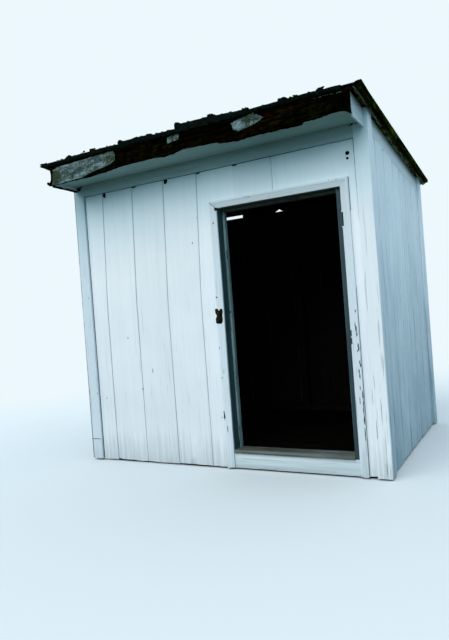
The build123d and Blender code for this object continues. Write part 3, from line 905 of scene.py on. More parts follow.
@dataclass
class WallRun:
    """A run of upright channel boards on one wall.

    The run is set out along the wall, and out is measured from the boards' inner face.
    """

    name: str
    joints: Sequence[float]
    start: float
    end: float
    place: Callable[[float, float, float], Point]
    top: Callable[[float], float]
    seed: int = 1
    thickness: float = 0.019
    channel_width: float = 0.035
    channel_depth: float = 0.006
    lap: float = 0.012
    step: float = 0.07
    warp: float = 0.0022
    foot: float = 0.012
    # How dark the channel's corners are painted: painted shade with some soiling.
    crease_darkening: float = 0.5
    drift: EndLine = lambda along, z: 0.0
    nail_heights: Sequence[float] = (0.16, 0.80, 1.45, 2.06)

    def section(self, a: float, b: float, first: bool, last: bool) -> list[BoardPoint]:
        """One board's section.

        Args:
            a: the joint at its left.
            b: the joint at its right.
            first: whether it starts the run.
            last: whether it ends the run.

        Returns:
            The section's points, in order.
        """
        full = self.thickness
        mid = full - self.channel_depth
        gap = 0.0002
        if first:
            points = [BoardPoint(a, 0.0), BoardPoint(a, full, wear=0.3)]
            face_start = a
        else:
            rise = a + self.channel_width
            # The marks in the channel's corners and its gap are painted shade, with some soiling.
            points = [BoardPoint(a - self.lap, 0.0), BoardPoint(a - self.lap, mid - gap),
                      BoardPoint(a + 0.0006, mid - gap, grime_and_shade=1.0), BoardPoint(a + 0.0034, mid, grime_and_shade=1.0),
                      BoardPoint(a + 0.0052, mid), BoardPoint(rise - 0.0042, mid),
                      BoardPoint(rise - 0.0016, mid, grime_and_shade=0.6), BoardPoint(rise, full - 0.0016, wear=0.8),
                      BoardPoint(rise + 0.0018, full, wear=0.8)]
            face_start = rise + 0.002
        spread = b - 0.002 - face_start
        points += [BoardPoint(face_start + spread * k / 6, full) for k in range(1, 6)]
        if last:
            points += [BoardPoint(b, full, wear=0.3), BoardPoint(b, 0.0, 1)]
        else:
            tongue = b - self.lap - 0.0005
            points += [BoardPoint(b - 0.0018, full, wear=0.8), BoardPoint(b, full - 0.0018, wear=0.9),
                       BoardPoint(b, mid + gap, wear=0.2, grime_and_shade=1.0), BoardPoint(tongue, mid + gap),
                       BoardPoint(tongue, 0.0, 1)]
        return points

    def build(self, *finishes: bpy.types.Material) -> bpy.types.Object:
        """Builds the run as one piece of several boards.

        Args:
            finishes: the outer paint, the bare inner wood, near black as painted shade of the room, and the
                nails' iron.

        Returns:
            The run's object.
        """
        piece = Workpiece(self.name)
        places = [self.start, *[j for j in self.joints if self.start < j < self.end], self.end]
        pick = random.Random(self.seed)
        mid = self.thickness - self.channel_depth - 0.0004
        for i, (a, b) in enumerate(zip(places, places[1:])):
            section = self.section(a, b, i == 0, i == len(places) - 2)
            cup = pick.uniform(-1, 1) * self.warp
            lean = pick.uniform(-1, 1) * 0.0012
            low = self.foot + pick.uniform(-0.004, 0.006)
            seed = self.seed * 10 + i
            rows = max(2, round((self.top((a + b) / 2) - low) / self.step))
            rings = []
            for r in range(rows + 1):
                ring = []
                for along, out, *_ in section:
                    share = (along - a) / (b - a) * 2 - 1
                    ragged = 0.006 * wander(along * 30, 0.2, 0.4, seed)
                    ragged += 0.004 * wander(along * 120, 1.2, 0.4, seed)
                    bottom = max(0.002, low + ragged)
                    z = bottom + (self.top(along) - bottom) * r / rows
                    swell = cup * (1 - share * share) * (0.7 + 0.6 * wander(0.1, 0.2, z * 0.9, seed))
                    swell += 0.0009 * wander(along * 6, z * 1.6, 0.3, seed) if out > 0 else 0.0
                    edge = 0.0011 * wander(0.5, z * 5.0, along * 0.5, seed + 0.5) + lean * (z / 2.3 - 0.5)
                    edge += self.drift(along, z)
                    swell *= max(0.0, out - mid) / (self.thickness - mid)
                    ring.append(self.place(along + edge, out + swell, z))
                rings.append(ring)
            piece.sweep(rings, pick.random(), [p.finish for p in section], 0, [p.wear for p in section],
                        [p.grime_and_shade * self.crease_darkening for p in section])
            self.nails(piece, a, b, pick)
        return piece.make(*finishes)

    def nails(self, piece: Workpiece, a: float, b: float, pick: random.Random) -> None:
        """Drives two nails a row through a board.

        Args:
            piece: the run.
            a: the board's left joint.
            b: its right joint.
            pick: the run's own chance.
        """
        for height in self.nail_heights:
            if height > self.top((a + b) / 2) - 0.05 or b - a < 0.1:
                continue
            for along in (a + 0.062, b - 0.024):
                x, z = along + pick.uniform(-0.006, 0.006), height + pick.uniform(-0.012, 0.012)
                x += self.drift(along, z)
                piece.sweep([[self.place(x + size * math.cos(t), out, z + size * math.sin(t))
                              for t in turns(8)]
                             for size, out in ((0.0036, 0.0175), (0.0036, 0.0202), (0.0014, 0.0207))])


@dataclass
class SubAssembly:
    """A part of the shed, set out from the shared lines and dressed with the shared finishes."""

    lines: ShedLines
    finishes: Finishes


@dataclass
class FrontWall(SubAssembly):
    """The channel boards of the front, sawn out round the doorway and bored by the right corner board."""

    rough_left: float = 0.085
    rough_right: float = 1.065
    rough_head: float = 1.958
    # Where the bores start and end along Y. Each hole and knot is its middle's x and z, its width and height.
    bore: Pair = (-0.87, -0.81)
    holes: tuple[Mark, ...] = ((1.108, 2.146, 0.028, 0.028), (1.106, 2.112, 0.018, 0.018))
    knots: tuple[Mark, ...] = (
        (-0.950, 2.216, 0.036, 0.040), (-0.640, 2.2300, 0.052, 0.015), (-0.333, 2.220, 0.042, 0.036),
        (-0.036, 2.2300, 0.040, 0.014), (0.277, 2.2300, 0.043, 0.016))

    def drift(self, along: float, z: float) -> float:
        """How far the joints left of the doorway have crept to the left, more towards the ground."""
        middle = min(1.0, max(0.0, (along + 1.219) / 0.2)) * min(1.0, max(0.0, (0.2 - along) / 0.2))
        return -0.040 * middle * min(1.0, (2.4 - z) / 1.1)

    def place(self, along: float, out: float, z: float) -> Point:
        """Places a point of the front's boards."""
        return along, self.lines.frame_front - out, z

    def build(self) -> None:
        """Builds the boards left of, over and right of the doorway, and the board under it."""
        lines, finishes = self.lines, self.finishes
        joints = lines.joints(7)
        for name, start, end, seed, node in (
                ("front_boards_left", lines.frame_left, joints[4], 3, "front_wall_left"),
                ("front_boards_over_door", joints[4], joints[6], 4, "front_wall_over_door"),
                ("front_boards_right", joints[6], lines.frame_right, 5, "front_wall_right")):
            run = WallRun(name, joints, start, end, self.place, lambda along: lines.soffit, seed,
                          drift=self.drift)
            piece = run.build(finishes.front_paint, finishes.upright_timber, finishes.iron)
            cutters = [cutter_block((self.rough_left, -0.90, -0.1),
                                    (self.rough_right, -0.80, self.rough_head))]
            for marks, rough, spread in ((self.holes, 0.05, 1), (self.knots, 0.2, 9)):
                cutters += [cutter_bore(x, z, width, tall, self.bore, rough, x * spread)
                            for x, z, width, tall in marks if start < x < end]
            cut_from(piece, cutters)
            hang(piece, "painted_boards", node)
        apron = Workpiece("apron_board")
        Stick(Axis.X, box_section(lines.boards_face, lines.frame_front, lines.foot, lines.floor),
              level(self.rough_left), level(self.rough_right), rough=0.0006, seed=2.2).put(apron)
        hang(apron.make(finishes.level_trim_paint), "painted_boards", "door_apron")


@dataclass
class SideWall(SubAssembly):
    """The channel boards of one side, with the slope of the roof along their tops."""

    side: Side
    joints: tuple[float, ...] = (-0.6465, -0.3995, -0.1125, 0.1295, 0.3245, 0.5985, 0.8475)

    def top(self, along: float) -> float:
        """The boards' top under the sloping frieze."""
        return self.lines.under_deck(along) - self.lines.side_frieze - 0.0008

    def place(self, along: float, out: float, z: float) -> Point:
        """Places a point of the side's boards."""
        return self.side.value * (self.lines.frame_right + out), along, z

    def build(self) -> None:
        """Builds the side's boards."""
        lines, finishes = self.lines, self.finishes
        word = self.side.name.lower()
        run = WallRun(f"{word}_side_boards", self.joints, lines.boards_face, lines.frame_back + lines.board,
                      self.place, self.top, 21 if self.side is Side.RIGHT else 31, warp=0.003,
                      nail_heights=(0.16, 0.80, 1.45, 2.02))
        hang(run.build(finishes.side_paint, finishes.upright_timber, finishes.iron), "weathered_sides",
             f"{word}_wall")


@dataclass
class BackWall(SubAssembly):
    """The channel boards of the back."""

    def place(self, along: float, out: float, z: float) -> Point:
        """Places a point of the back's boards."""
        return along, self.lines.frame_back + out, z

    def build(self) -> None:
        """Builds the back's boards."""
        lines, finishes = self.lines, self.finishes
        top = lines.under_rafters(lines.back)
        run = WallRun("back_boards", lines.joints(8), lines.frame_left, lines.frame_right, self.place,
                      lambda along: top, 41)
        hang(run.build(finishes.side_paint, finishes.upright_timber, finishes.iron), "painted_boards",
             "back_wall")


@dataclass
class CornerTrim(SubAssembly):
    """The corner boards and the friezes along the boards' tops."""

    end_width: float = 0.098
    side_width: float = 0.089

    def build(self) -> None:
        """Builds all the trim."""
        lines, finishes = self.lines, self.finishes
        under_back = lines.under_rafters(lines.back)
        self.end_corners("front", lines.front, lines.front + lines.trim, lines.soffit, finishes.trim_paint)
        self.end_corners("back", lines.back - lines.trim, lines.back, under_back, finishes.side_paint)
        self.side_corners()
        self.level_frieze("front", lines.front, lines.soffit, 0.0, finishes.shaded_frieze_paint)
        self.level_frieze("back", lines.back - lines.trim, under_back, 0.4, finishes.level_trim_paint)
        self.sloping_friezes()

    def end_corners(self, word: str, y0: float, y1: float, shoulder: float, coat: bpy.types.Material) -> None:
        """Builds the two corner boards of the front or the back.

        Args:
            word: which end it is.
            y0: the boards' front face.
            y1: their back face.
            shoulder: their height under the eave or the rafters.
            coat: their paint.
        """
        lines = self.lines
        piece = Workpiece(f"{word}_corner_boards")
        corners = [(lines.left, y0), (lines.frame_left - 0.0004, y0), (lines.frame_left + 0.0004, y0),
                   (lines.left + self.end_width, y0), (lines.left + self.end_width, y1),
                   (lines.frame_left + 0.0004, y1), (lines.frame_left - 0.0004, y1), (lines.left, y1)]

        def top(u: float, v: float) -> float:
            """The board's top, notched round the end rafter."""
            return lines.under_deck(y1) if abs(u) > abs(lines.frame_left) else shoulder

        for sign in (-1, 1):
            Stick(Axis.Z, [(-sign * u, v) for u, v in corners], level(lines.foot), top, radius=0.002,
                  flat=0.05, ragged=0.006, bow=0.002, seed=5.3 + sign + y0,
                  finish=int(sign < 0 and word == "front")).put(piece)
        hang(piece.make(coat, self.finishes.corner_paint), "painted_trim", f"corner_boards_{word}")

    def side_corners(self) -> None:
        """Builds the corner boards of the two sides."""
        lines = self.lines
        front, back = lines.front + lines.trim, lines.back - lines.trim
        for side in Side:
            word = side.name.lower()
            piece = Workpiece(f"{word}_side_corner_boards")
            outer, inner = side.value * lines.right, side.value * (lines.right - lines.trim)
            for y0, y1, seed in ((front, front + self.side_width, 7.1), (back - self.side_width, back, 8.1)):
                Stick(Axis.Z, box_section(outer, inner, y0, y1), level(lines.foot),
                      lambda u, v: lines.under_deck(v), radius=0.002, flat=0.04, ragged=0.006, bow=0.002,
                      seed=seed + side.value).put(piece)
            hang(piece.make(self.finishes.side_paint), "painted_trim", f"corner_boards_{word}")

    def level_frieze(self, word: str, y: float, top: float, seed: float, coat: bpy.types.Material) -> None:
        """Builds the level frieze of the front or the back, between the corner boards.

        Args:
            word: which end it is.
            y: the board's front face.
            top: its upper edge.
            seed: picks its bow.
            coat: its paint.
        """
        lines = self.lines
        frieze = Workpiece(f"{word}_frieze_board")
        Stick(Axis.X, box_section(y, y + lines.trim, top - lines.frieze, top),
              level(lines.left + self.end_width), level(lines.right - self.end_width),
              radius=0.0025, bow=0.0025, seed=3.4 + seed).put(frieze)
        hang(frieze.make(coat), "painted_trim", f"{word}_frieze")

    def sloping_friezes(self) -> None:
        """Builds the sloping boards that lie flush at the tops of the sides."""
        lines = self.lines
        piece = Workpiece("side_frieze_boards")
        for side in Side:
            outer = side.value * (lines.frame_right + lines.board + 0.0005)
            inner = side.value * lines.frame_right
            outline, wear = rounded(box_section(outer, inner, -lines.side_frieze, 0.0), 0.0012, 0.03)
            piece.sweep([[(u + 0.0005 * wander(u * 40, v * 40, y * 9, 4.0), y, lines.under_deck(y) + v)
                          for u, v in outline]
                         for y in steps(lines.boards_face, lines.frame_back + lines.board, 30)],
                        0.4 + 0.2 * side.value, (), 0, wear)
        hang(piece.make(self.finishes.side_level_paint), "painted_trim", "side_friezes")


@dataclass
class Doorway(SubAssembly):
    """The doorway's mitred casing, its jambs and stops, the threshold and the rusty latch keeper."""

    opening_left: float = 0.110
    opening_right: float = 1.015
    door_head: float = 1.933
    jamb: float = 0.025
    hinge_jamb: float = 0.050
    stop: float = 0.016
    stop_front: float = -0.7795
    stop_back: float = -0.7415
    casing: float = 0.057
    nosing: float = 0.019
    thin_edge: float = 0.011
    flat_band: float = 0.018
    threshold_top: float = 0.146
    keeper_middle: Pair = (0.070, 1.140)
    keeper_outline: tuple[Pair, ...] = (
        (0.039, 1.199), (0.062, 1.199), (0.066, 1.184), (0.074, 1.183), (0.077, 1.197), (0.096, 1.196),
        (0.099, 1.170), (0.092, 1.150), (0.096, 1.120), (0.092, 1.099), (0.083, 1.085), (0.058, 1.086),
        (0.040, 1.092), (0.041, 1.128), (0.052, 1.145), (0.041, 1.165))

    def build(self) -> None:
        """Builds the whole doorway."""
        self.casings()
        self.head_casing()
        self.jambs()
        self.sill()
        self.keeper()

    def casing_section(self, outer: float, inner: float) -> list[Pair]:
        """The casing's moulding: a flat band, a crease and a face that falls to the doorway.

        Args:
            outer: the place of its outer edge across the casing.
            inner: the place of its inner edge.

        Returns:
            Pairs of place across and distance out from the boards.
        """
        way = 1 if inner > outer else -1
        return [(outer, 0.0), (outer, self.nosing), (outer + way * self.flat_band, self.nosing),
                (outer + way * (self.flat_band + 0.0025), self.nosing - 0.0022),
                (inner - way * 0.002, self.thin_edge), (inner, self.thin_edge - 0.003), (inner, 0.0)]

    def casings(self) -> None:
        """Builds the casing's two uprights, with an open mitre at the left and hinge notches at the right."""
        face, half_leaf = self.lines.boards_face, self.lines.half_leaf
        for word, inner, way, crack in (("left", self.lines.casing_left, -1, 0.0060),
                                        ("right", self.lines.casing_right, 1, 0.0006)):
            piece = Workpiece(f"{word}_casing")
            section = [(u, face - v) for u, v in self.casing_section(inner + way * self.casing, inner)]
            Stick(Axis.Z, section, level(self.lines.foot),
                  lambda u, v: self.lines.casing_head + abs(u - inner) - crack, radius=0.0008,
                  flat=0.02, step=0.04, ragged=0.008, bow=0.0025, rough=0.0005, seed=9.2 + way).put(piece)
            made = piece.make(self.finishes.casing_paint)
            if word == "right":
                cut_from(made, [cutter_block((inner - 0.004, face - 0.03, z - half_leaf),
                                             (inner + 0.009, face + 0.004, z + half_leaf))
                                for z in self.lines.hinges])
            hang(made, "painted_trim", f"casing_{word}")

    def head_casing(self) -> None:
        """Builds the length of casing over the doorway and the damp that grows under it."""
        face, head = self.lines.boards_face, self.lines.casing_head
        section = [(face - v, u) for u, v in self.casing_section(head + self.casing, head)]
        piece = Workpiece("head_casing")
        Stick(Axis.X, section, lambda u, v: self.lines.casing_left - (v - head) + 0.0005,
              lambda u, v: self.lines.casing_right + (v - head) - 0.0005, radius=0.0008, flat=0.02, bow=0.002,
              rough=0.0005, seed=9.9).put(piece)
        hang(piece.make(self.finishes.level_trim_paint), "painted_trim", "casing_head")
        piece = Workpiece("green_damp_under_head_casing")
        places = steps(self.lines.casing_left + 0.004, self.lines.casing_right - 0.004, 40)
        piece.sweep([[(x, y, z) for y, z in box_section(face - 0.010 - 0.0015 * wander(x * 8, 0.3, 0.2, 4.0),
                                                        face - 0.0005, head - 0.0022, head + 0.0004)]
                     for x in places], 0.4)
        hang(piece.make(self.finishes.head_paint), "jamb_paint")

    def jambs(self) -> None:
        """Builds the side jambs and the head with their stops."""
        lines, finishes = self.lines, self.finishes
        front, back, half_leaf = lines.boards_face, lines.room_front, lines.half_leaf
        head = self.door_head + self.jamb
        look = {"radius": 0.0015, "flat": 0.012, "bow": 0.0015, "rough": 0.0006}
        for word, face, way, thick in (("left", self.opening_left, 1, self.jamb),
                                       ("right", self.opening_right, -1, self.hinge_jamb)):
            piece = Workpiece(f"{word}_jamb")
            Stick(Axis.Z, box_section(face, face - way * thick, front, back), level(lines.floor), level(head),
                  step=0.04, seed=11.0 + way, **look).put(piece)
            stop = box_section(face + way * 0.0002, face + way * self.stop, self.stop_front, self.stop_back)
            Stick(Axis.Z, stop, level(self.threshold_top), level(self.door_head), step=0.04,
                  seed=11.0 + way, finish=int(word == "left"), **look).put(piece)
            if word == "left":
                # The left stop's lighter finish is painted light.
                made = piece.make(finishes.jamb_paint, finishes.lit_stop_paint)
                # The strike's recess and its hole.
                cuts = [((face - 0.012, front + 0.023, 1.157), (face + 0.001, front + 0.046, 1.187)),
                        ((face - 0.010, front + 0.050, 1.158), (face + 0.0155, front + 0.078, 1.176))]
            else:
                made = piece.make(finishes.hinge_jamb_paint)
                # The hinges' recesses.
                cuts = [((face - 0.001, front - 0.001, z - half_leaf),
                         (face + 0.003, front + 0.035, z + half_leaf)) for z in lines.hinges]
            cut_from(made, [cutter_block(low, high) for low, high in cuts])
            hang(made, "jamb_paint", f"jamb_{word}")
        piece = Workpiece("head_jamb")
        under = self.door_head - self.stop
        section = [(front, self.door_head), (self.stop_front, self.door_head), (self.stop_front, under),
                   (self.stop_back, under), (self.stop_back, self.door_head), (back, self.door_head),
                   (back, head), (front, head)]

        def inset(v: float) -> float:
            """How far the head's stop lies in from the jambs, between the side stops."""
            return self.stop if v < self.door_head - 0.0004 else 0.0

        Stick(Axis.X, section, lambda u, v: self.opening_left + inset(v),
              lambda u, v: self.opening_right - inset(v), seed=12.5, **look).put(piece)
        hang(piece.make(finishes.head_paint), "jamb_paint", "jamb_head")

    def sill(self) -> None:
        """Builds the trodden threshold with its bevelled nose."""
        back, face = self.lines.room_front, self.lines.boards_face
        top, low = self.threshold_top, self.lines.floor
        section = [(face - 0.014, low), (back, low), (back, top), (face, top), (face - 0.014, top - 0.011)]
        piece = Workpiece("worn_threshold")
        Stick(Axis.X, section, level(self.opening_left), level(self.opening_right), radius=0.002, flat=0.015,
              rough=0.0012, seed=14.2).put(piece)
        hang(piece.make(self.finishes.sill_wood), "floor_timber", "threshold")

    def bent(self, x: float, out: float) -> float:
        """The place along Y of a point that stands out from the bent keeper plate's foot."""
        return self.lines.boards_face - 0.0155 - out + (x - self.keeper_middle[0]) * 0.16

    def keeper(self) -> None:
        """Builds the latch keeper: a bent plate with two ears, a barrel and its screws."""
        middle_x, middle_z = self.keeper_middle
        piece = Workpiece("rusty_keeper")
        corners, _ = rounded(self.keeper_outline, 0.005)
        piece.sweep([[(x + (middle_x - x) * inset, self.bent(x, out), z + (middle_z - z) * inset)
                      for x, z in corners] for inset, out in ((0.0, 0.0), (0.0, 0.003), (0.06, 0.0042))], 0.4)
        barrel = 0.074
        rings = []
        for z in steps(1.100, 1.166, 14):
            swell = 0.0085 * (1.0 if 1.101 < z < 1.165 else 0.55) * (1 + 0.06 * wander(0, 0, z * 90, 1.0))
            rings.append([(barrel + swell * math.cos(t), self.bent(barrel, 0.008) + swell * math.sin(t), z)
                          for t in turns(12)])
        piece.sweep(rings, 0.7)
        for x, z in ((0.052, 1.187), (0.086, 1.185), (0.060, 1.112)):
            piece.sweep([[(x + size * math.cos(t), self.bent(x, out), z + size * math.sin(t))
                          for t in turns(10)]
                         for size, out in ((0.0045, 0.002), (0.0045, 0.0052), (0.002, 0.0062))], 0.9)
        hang(piece.make(self.finishes.iron), "rusty_iron", "latch_keeper")


@dataclass
class BoxedEave(SubAssembly):
    """The boxed eave over the doorway: a rotten fascia with paint left on it, a soffit and closed ends."""

    thickness: float = 0.025
    height: float = 0.140
    reach: float = 1.231
    return_drop: float = 0.038
    end_board: float = 0.012
    cove: float = 0.028
    # The lower edge's loss in millimetres, by the share of the way along the fascia.
    rot: tuple[Pair, ...] = (
        (0.0, 0), (0.0609, 0), (0.1630, 0), (0.1920, 3), (0.2246, 8), (0.2526, 14), (0.2924, 23),
        (0.4224, 24), (0.4509, 14), (0.4793, 19), (0.5118, 41), (0.5666, 32), (0.6255, 26), (0.6328, 14),
        (0.6864, 3), (0.7311, 9), (0.8712, 5), (0.8773, 20), (0.9220, 21), (0.9525, 32), (0.9789, 31),
        (0.9911, 16), (1.0, 0))
    patches: tuple[tuple[str, tuple[Pair, ...]], ...] = (
        ("left", ((-1.208, 2.290), (-1.198, 2.330), (-1.196, 2.372), (-1.188, 2.406), (-1.130, 2.424),
                  (-0.566, 2.436), (-0.553, 2.402), (-0.557, 2.362), (-0.605, 2.344), (-0.675, 2.331),
                  (-0.755, 2.320), (-0.827, 2.307), (-0.880, 2.294), (-0.964, 2.291), (-1.08, 2.290),
                  (-1.12, 2.285))),
        ("middle", ((-0.083, 2.383), (-0.076, 2.424), (-0.040, 2.438), (0.019, 2.434), (0.017, 2.396),
                    (-0.020, 2.392))),
        ("right", ((0.433, 2.410), (0.485, 2.423), (0.560, 2.437), (0.601, 2.448), (0.612, 2.430),
                   (0.669, 2.396), (0.600, 2.366), (0.484, 2.346), (0.446, 2.366))))
    # Where lichen grows on those patches: its middle, its reach and how thick it is.
    crusts: tuple[Mark, ...] = (
        (-0.60, 2.385, 0.075, 0.52), (-1.170, 2.350, 0.060, 0.95), (-0.03, 2.40, 0.05, 0.45),
        (0.555, 2.405, 0.050, 0.60), (-0.80, 2.36, 0.16, 0.32), (-1.02, 2.33, 0.12, 0.32),
        (0.63, 2.39, 0.040, 0.35))

    def build(self) -> None:
        """Builds the boxed eave."""
        lines = self.lines
        self.fascia()
        for word, outline in self.patches:
            self.paint_patch(word, outline)
        self.peeling()
        self.end_splinters()
        soffit = Workpiece("eave_soffit")
        Stick(Axis.X, box_section(lines.fascia + self.thickness, lines.frame_front, lines.soffit,
                                  lines.soffit + lines.soffit_board), level(lines.frame_left),
              level(lines.frame_right), radius=0.001, rough=0.0008, bow=0.0, seed=15.1).put(soffit)
        hang(soffit.make(self.finishes.soffit_paint), "painted_trim", "soffit")
        ends = Workpiece("eave_end_boards")
        for side in Side:
            self.end_panel(ends, side)
        hang(ends.make(self.finishes.return_paint), "painted_trim", "eave_returns")
        self.moss()

    def loss(self, x: float) -> float:
        """How much of the fascia's lower edge is rotted away at x.

        Args:
            x: the place along the fascia.

        Returns:
            The lost height in metres.
        """
        share = (x + self.reach) / (2 * self.reach)
        for (a, low), (b, high) in zip(self.rot, self.rot[1:]):
            if a <= share <= b:
                return (low + (high - low) * (share - a) / (b - a)) / 1000
        return 0.0

    def relief(self, x: float, z: float) -> float:
        """How deep the rot has eaten the fascia's face at a place, in grooves and hollows."""
        grooves = max(0.0, wander(x * 3.0, 0.3, z * 130, 2.0)) * 0.0035
        return grooves + max(0.0, wander(x * 7.0, 0.8, z * 22, 5.0) + 0.15) * 0.006

    def end_hollow(self, x: float, share: float) -> float:
        """How far the left end is eaten away, or stands out at its foot.

        Args:
            x: the place along the fascia.
            share: the height, as a share of the fascia's.

        Returns:
            The shift along x in metres.
        """
        near = max(0.0, 1 - (x + self.reach) / 0.06)
        up = min(max(share, 0.0), 1.0)
        return near * (0.012 * math.sin(math.pi * up) ** 0.8 - 0.018 * max(0.0, 1 - up / 0.28) ** 0.7)

    def fascia(self) -> None:
        """Builds the fascia, eaten along its foot and hollowed at its left end, where a stub stands out."""
        top = self.lines.under_deck(self.lines.fascia) - 0.0005
        bottom = self.lines.under_deck(self.lines.fascia) - self.height
        rings = []
        for x in steps(-self.reach, self.reach, 260):
            low = bottom + self.loss(x) + 0.004 * wander(x * 38, 0.1, 0.2, 3.0)
            low += 0.002 * wander(x * 140, 0.1, 0.2, 4.0)
            heights = steps(max(low, bottom), top, 16)
            ring = []
            for i, z in enumerate(heights + [heights[16], heights[8], heights[0]]):
                out = self.relief(x, z) * (0.3 if i in (0, 16) else 1.0) if i <= 16 else self.thickness
                ring.append((x + self.end_hollow(x, (z - bottom) / self.height), self.lines.fascia + out, z))
            rings.append(ring)
        piece = Workpiece("rotten_fascia_board")
        piece.sweep(rings, 0.3)
        x, y, z = -self.reach - 0.012, self.lines.fascia + 0.006, 2.312
        piece.sweep([[(x - out, y + size * math.cos(t), z + size * math.sin(t)) for t in turns(10)]
                     for size, out in ((0.006, -0.02), (0.006, 0.008), (0.012, 0.0082), (0.0125, 0.014),
                                       (0.007, 0.020))], 0.9)
        hang(piece.make(self.finishes.rot_wood, sharp_degrees=60), "rotten_fascia", "fascia")

    def growth(self, x: float, z: float) -> float:
        """How thick the lichen grows at a place of the fascia."""
        return max(share * max(0.0, 1 - math.hypot(x - cx, (z - cz) * 1.4) / (2 * reach))
                   for cx, cz, reach, share in self.crusts)

    def paint_patch(self, word: str, outline: Sequence[Pair]) -> None:
        """Builds one patch of paint that still clings to the fascia, from square cells of it.

        Args:
            word: the patch's place.
            outline: its rough outline as pairs of x and z.
        """
        cell = 0.004
        xs, zs = zip(*outline)
        low_x, low_z = min(xs), min(zs)
        edge = list(zip(outline, [*outline[1:], outline[0]]))
        rotten = self.lines.under_deck(self.lines.fascia) - self.height

        def inside(x: float, z: float) -> bool:
            """Whether a place is in the outline."""
            return sum((b > z) != (d > z) and x < a + (c - a) * (z - b) / (d - b)
                       for (a, b), (c, d) in edge) % 2 == 1

        mesh = bmesh.new()
        corner: dict[tuple[int, int], bmesh.types.BMVert] = {}
        for i in range(int((max(xs) - low_x) / cell) + 1):
            for k in range(int((max(zs) - low_z) / cell) + 1):
                x, z = low_x + (i + 0.5) * cell, low_z + (k + 0.5) * cell
                stray_x = 0.004 * wander(x * 90, 0.2, z * 90, 8.0)
                stray_z = 0.004 * wander(x * 90, 5.2, z * 90, 9.0)
                flaked = wander(x * 30, 0.3, z * 60, 6.0) > 0.66
                spare = 0.002 if self.loss(x) > 0.004 else -0.004
                if flaked or z < rotten + self.loss(x) + spare or not inside(x + stray_x, z + stray_z):
                    continue
                loop = []
                for a, b in ((i, k), (i + 1, k), (i + 1, k + 1), (i, k + 1)):
                    if (a, b) not in corner:
                        px, pz = low_x + a * cell, low_z + b * cell
                        curl = 0.0012 * max(0.0, wander(px * 30, 2.0, pz * 30, 3.0))
                        out = self.relief(px, pz) * 0.4 - 0.0012 - curl
                        corner[(a, b)] = mesh.verts.new((px, self.lines.fascia + out, pz))
                    loop.append(corner[(a, b)])
                mesh.faces.new(loop)
        data = bpy.data.meshes.new(f"{word}_paint_patch")
        mesh.to_mesh(data)
        mesh.free()
        data.materials.append(self.finishes.flakes)
        note(data, "wear", [self.growth(v.co.x, v.co.z) for v in data.vertices])
        data.shade_smooth()
        patch = linked(f"{word}_paint_patch", data)
        film = patch.modifiers.new("film", "SOLIDIFY")
        film.thickness = 0.001
        film.offset = 1.0
        hang(patch, "rotten_fascia")

    def moss(self) -> None:
        """Lays moss along the left closed end's foot and at the tops of the corner boards."""
        lines = self.lines
        piece = Workpiece("moss_under_eave")
        foot = lines.soffit - self.return_drop
        inner, outer = self.reach - self.end_board, self.reach
        rings = []
        for y in steps(lines.fascia + self.thickness + 0.002, lines.front - 0.002, 80):
            thick = 0.0030 + 0.0022 * wander(0.2, y * 60, 0.4, 2.0)
            high = 0.011 + 0.006 * wander(0.7, y * 45, 0.1, 5.0)
            rings.append([(-outer - thick * 0.5, y, foot + 0.005), (-outer - thick * 0.5, y, foot - thick),
                          (-inner + thick, y, foot - thick), (-inner + thick, y, foot + high * 0.6),
                          (-inner + 0.0004, y, foot + high)])
        piece.sweep(rings, 0.3)
        pick = random.Random(37)
        places: list[Mark] = []
        for _ in range(60):
            x = lines.left + 0.002 + 0.085 * pick.random() ** 2.2
            drop = 0.030 * pick.random() ** 1.6
            places.append((x, lines.soffit - 0.006 - drop, pick.uniform(0.006, 0.012), 0.005))
        for _ in range(22):
            x, drop = 1.218 - 0.09 * pick.random() ** 1.8, 0.020 * pick.random() ** 2
            places.append((x, lines.soffit - drop, 0.007, 0.003))
        for x, z, wide, tall in places:
            seed = pick.uniform(0, 50)
            rings = []
            for k in range(6):
                up = math.pi * (0.06 + 0.88 * k / 5)
                ring = []
                for t in turns(8):
                    stray = 1 + 0.4 * wander(math.cos(t), math.sin(t), k, seed)
                    ring.append((x + wide * math.sin(up) * math.cos(t) * stray,
                                 lines.front + wide * math.sin(up) * math.sin(t) * 0.6,
                                 z - tall * math.cos(up)))
                rings.append(ring)
            piece.sweep(rings, pick.random())
        hang(piece.make(self.finishes.eave_moss), "painted_trim")

    def end_splinters(self) -> None:
        """Stands loose black splinters upright on the fascia's right end."""
        piece = Workpiece("fascia_end_splinters")
        pick = random.Random(41)
        top = self.lines.under_deck(self.lines.fascia)
        for k in range(13):
            x = 1.122 + 0.0083 * k + pick.uniform(-0.002, 0.002)
            high = top - pick.uniform(0.004, 0.02)
            low = top - self.height + self.loss(x) + pick.uniform(0.004, 0.03)
            wide = pick.uniform(0.0025, 0.007)
            rings = []
            for share in steps(0.0, 1.0, 8):
                z = low + (high - low) * share
                fat = wide * math.sin(math.pi * (0.06 + 0.88 * share)) ** 0.4
                middle = x + 0.0015 * wander(x, z * 30, 0.3, k)
                rings.append([(middle + fat * u, self.lines.fascia + v, z)
                              for u, v in ((-1.0, 0.003), (-0.6, -0.0045), (0.6, -0.005), (1.0, 0.003))])
            piece.sweep(rings, pick.random())
        hang(piece.make(self.finishes.end_rot), "rotten_fascia")

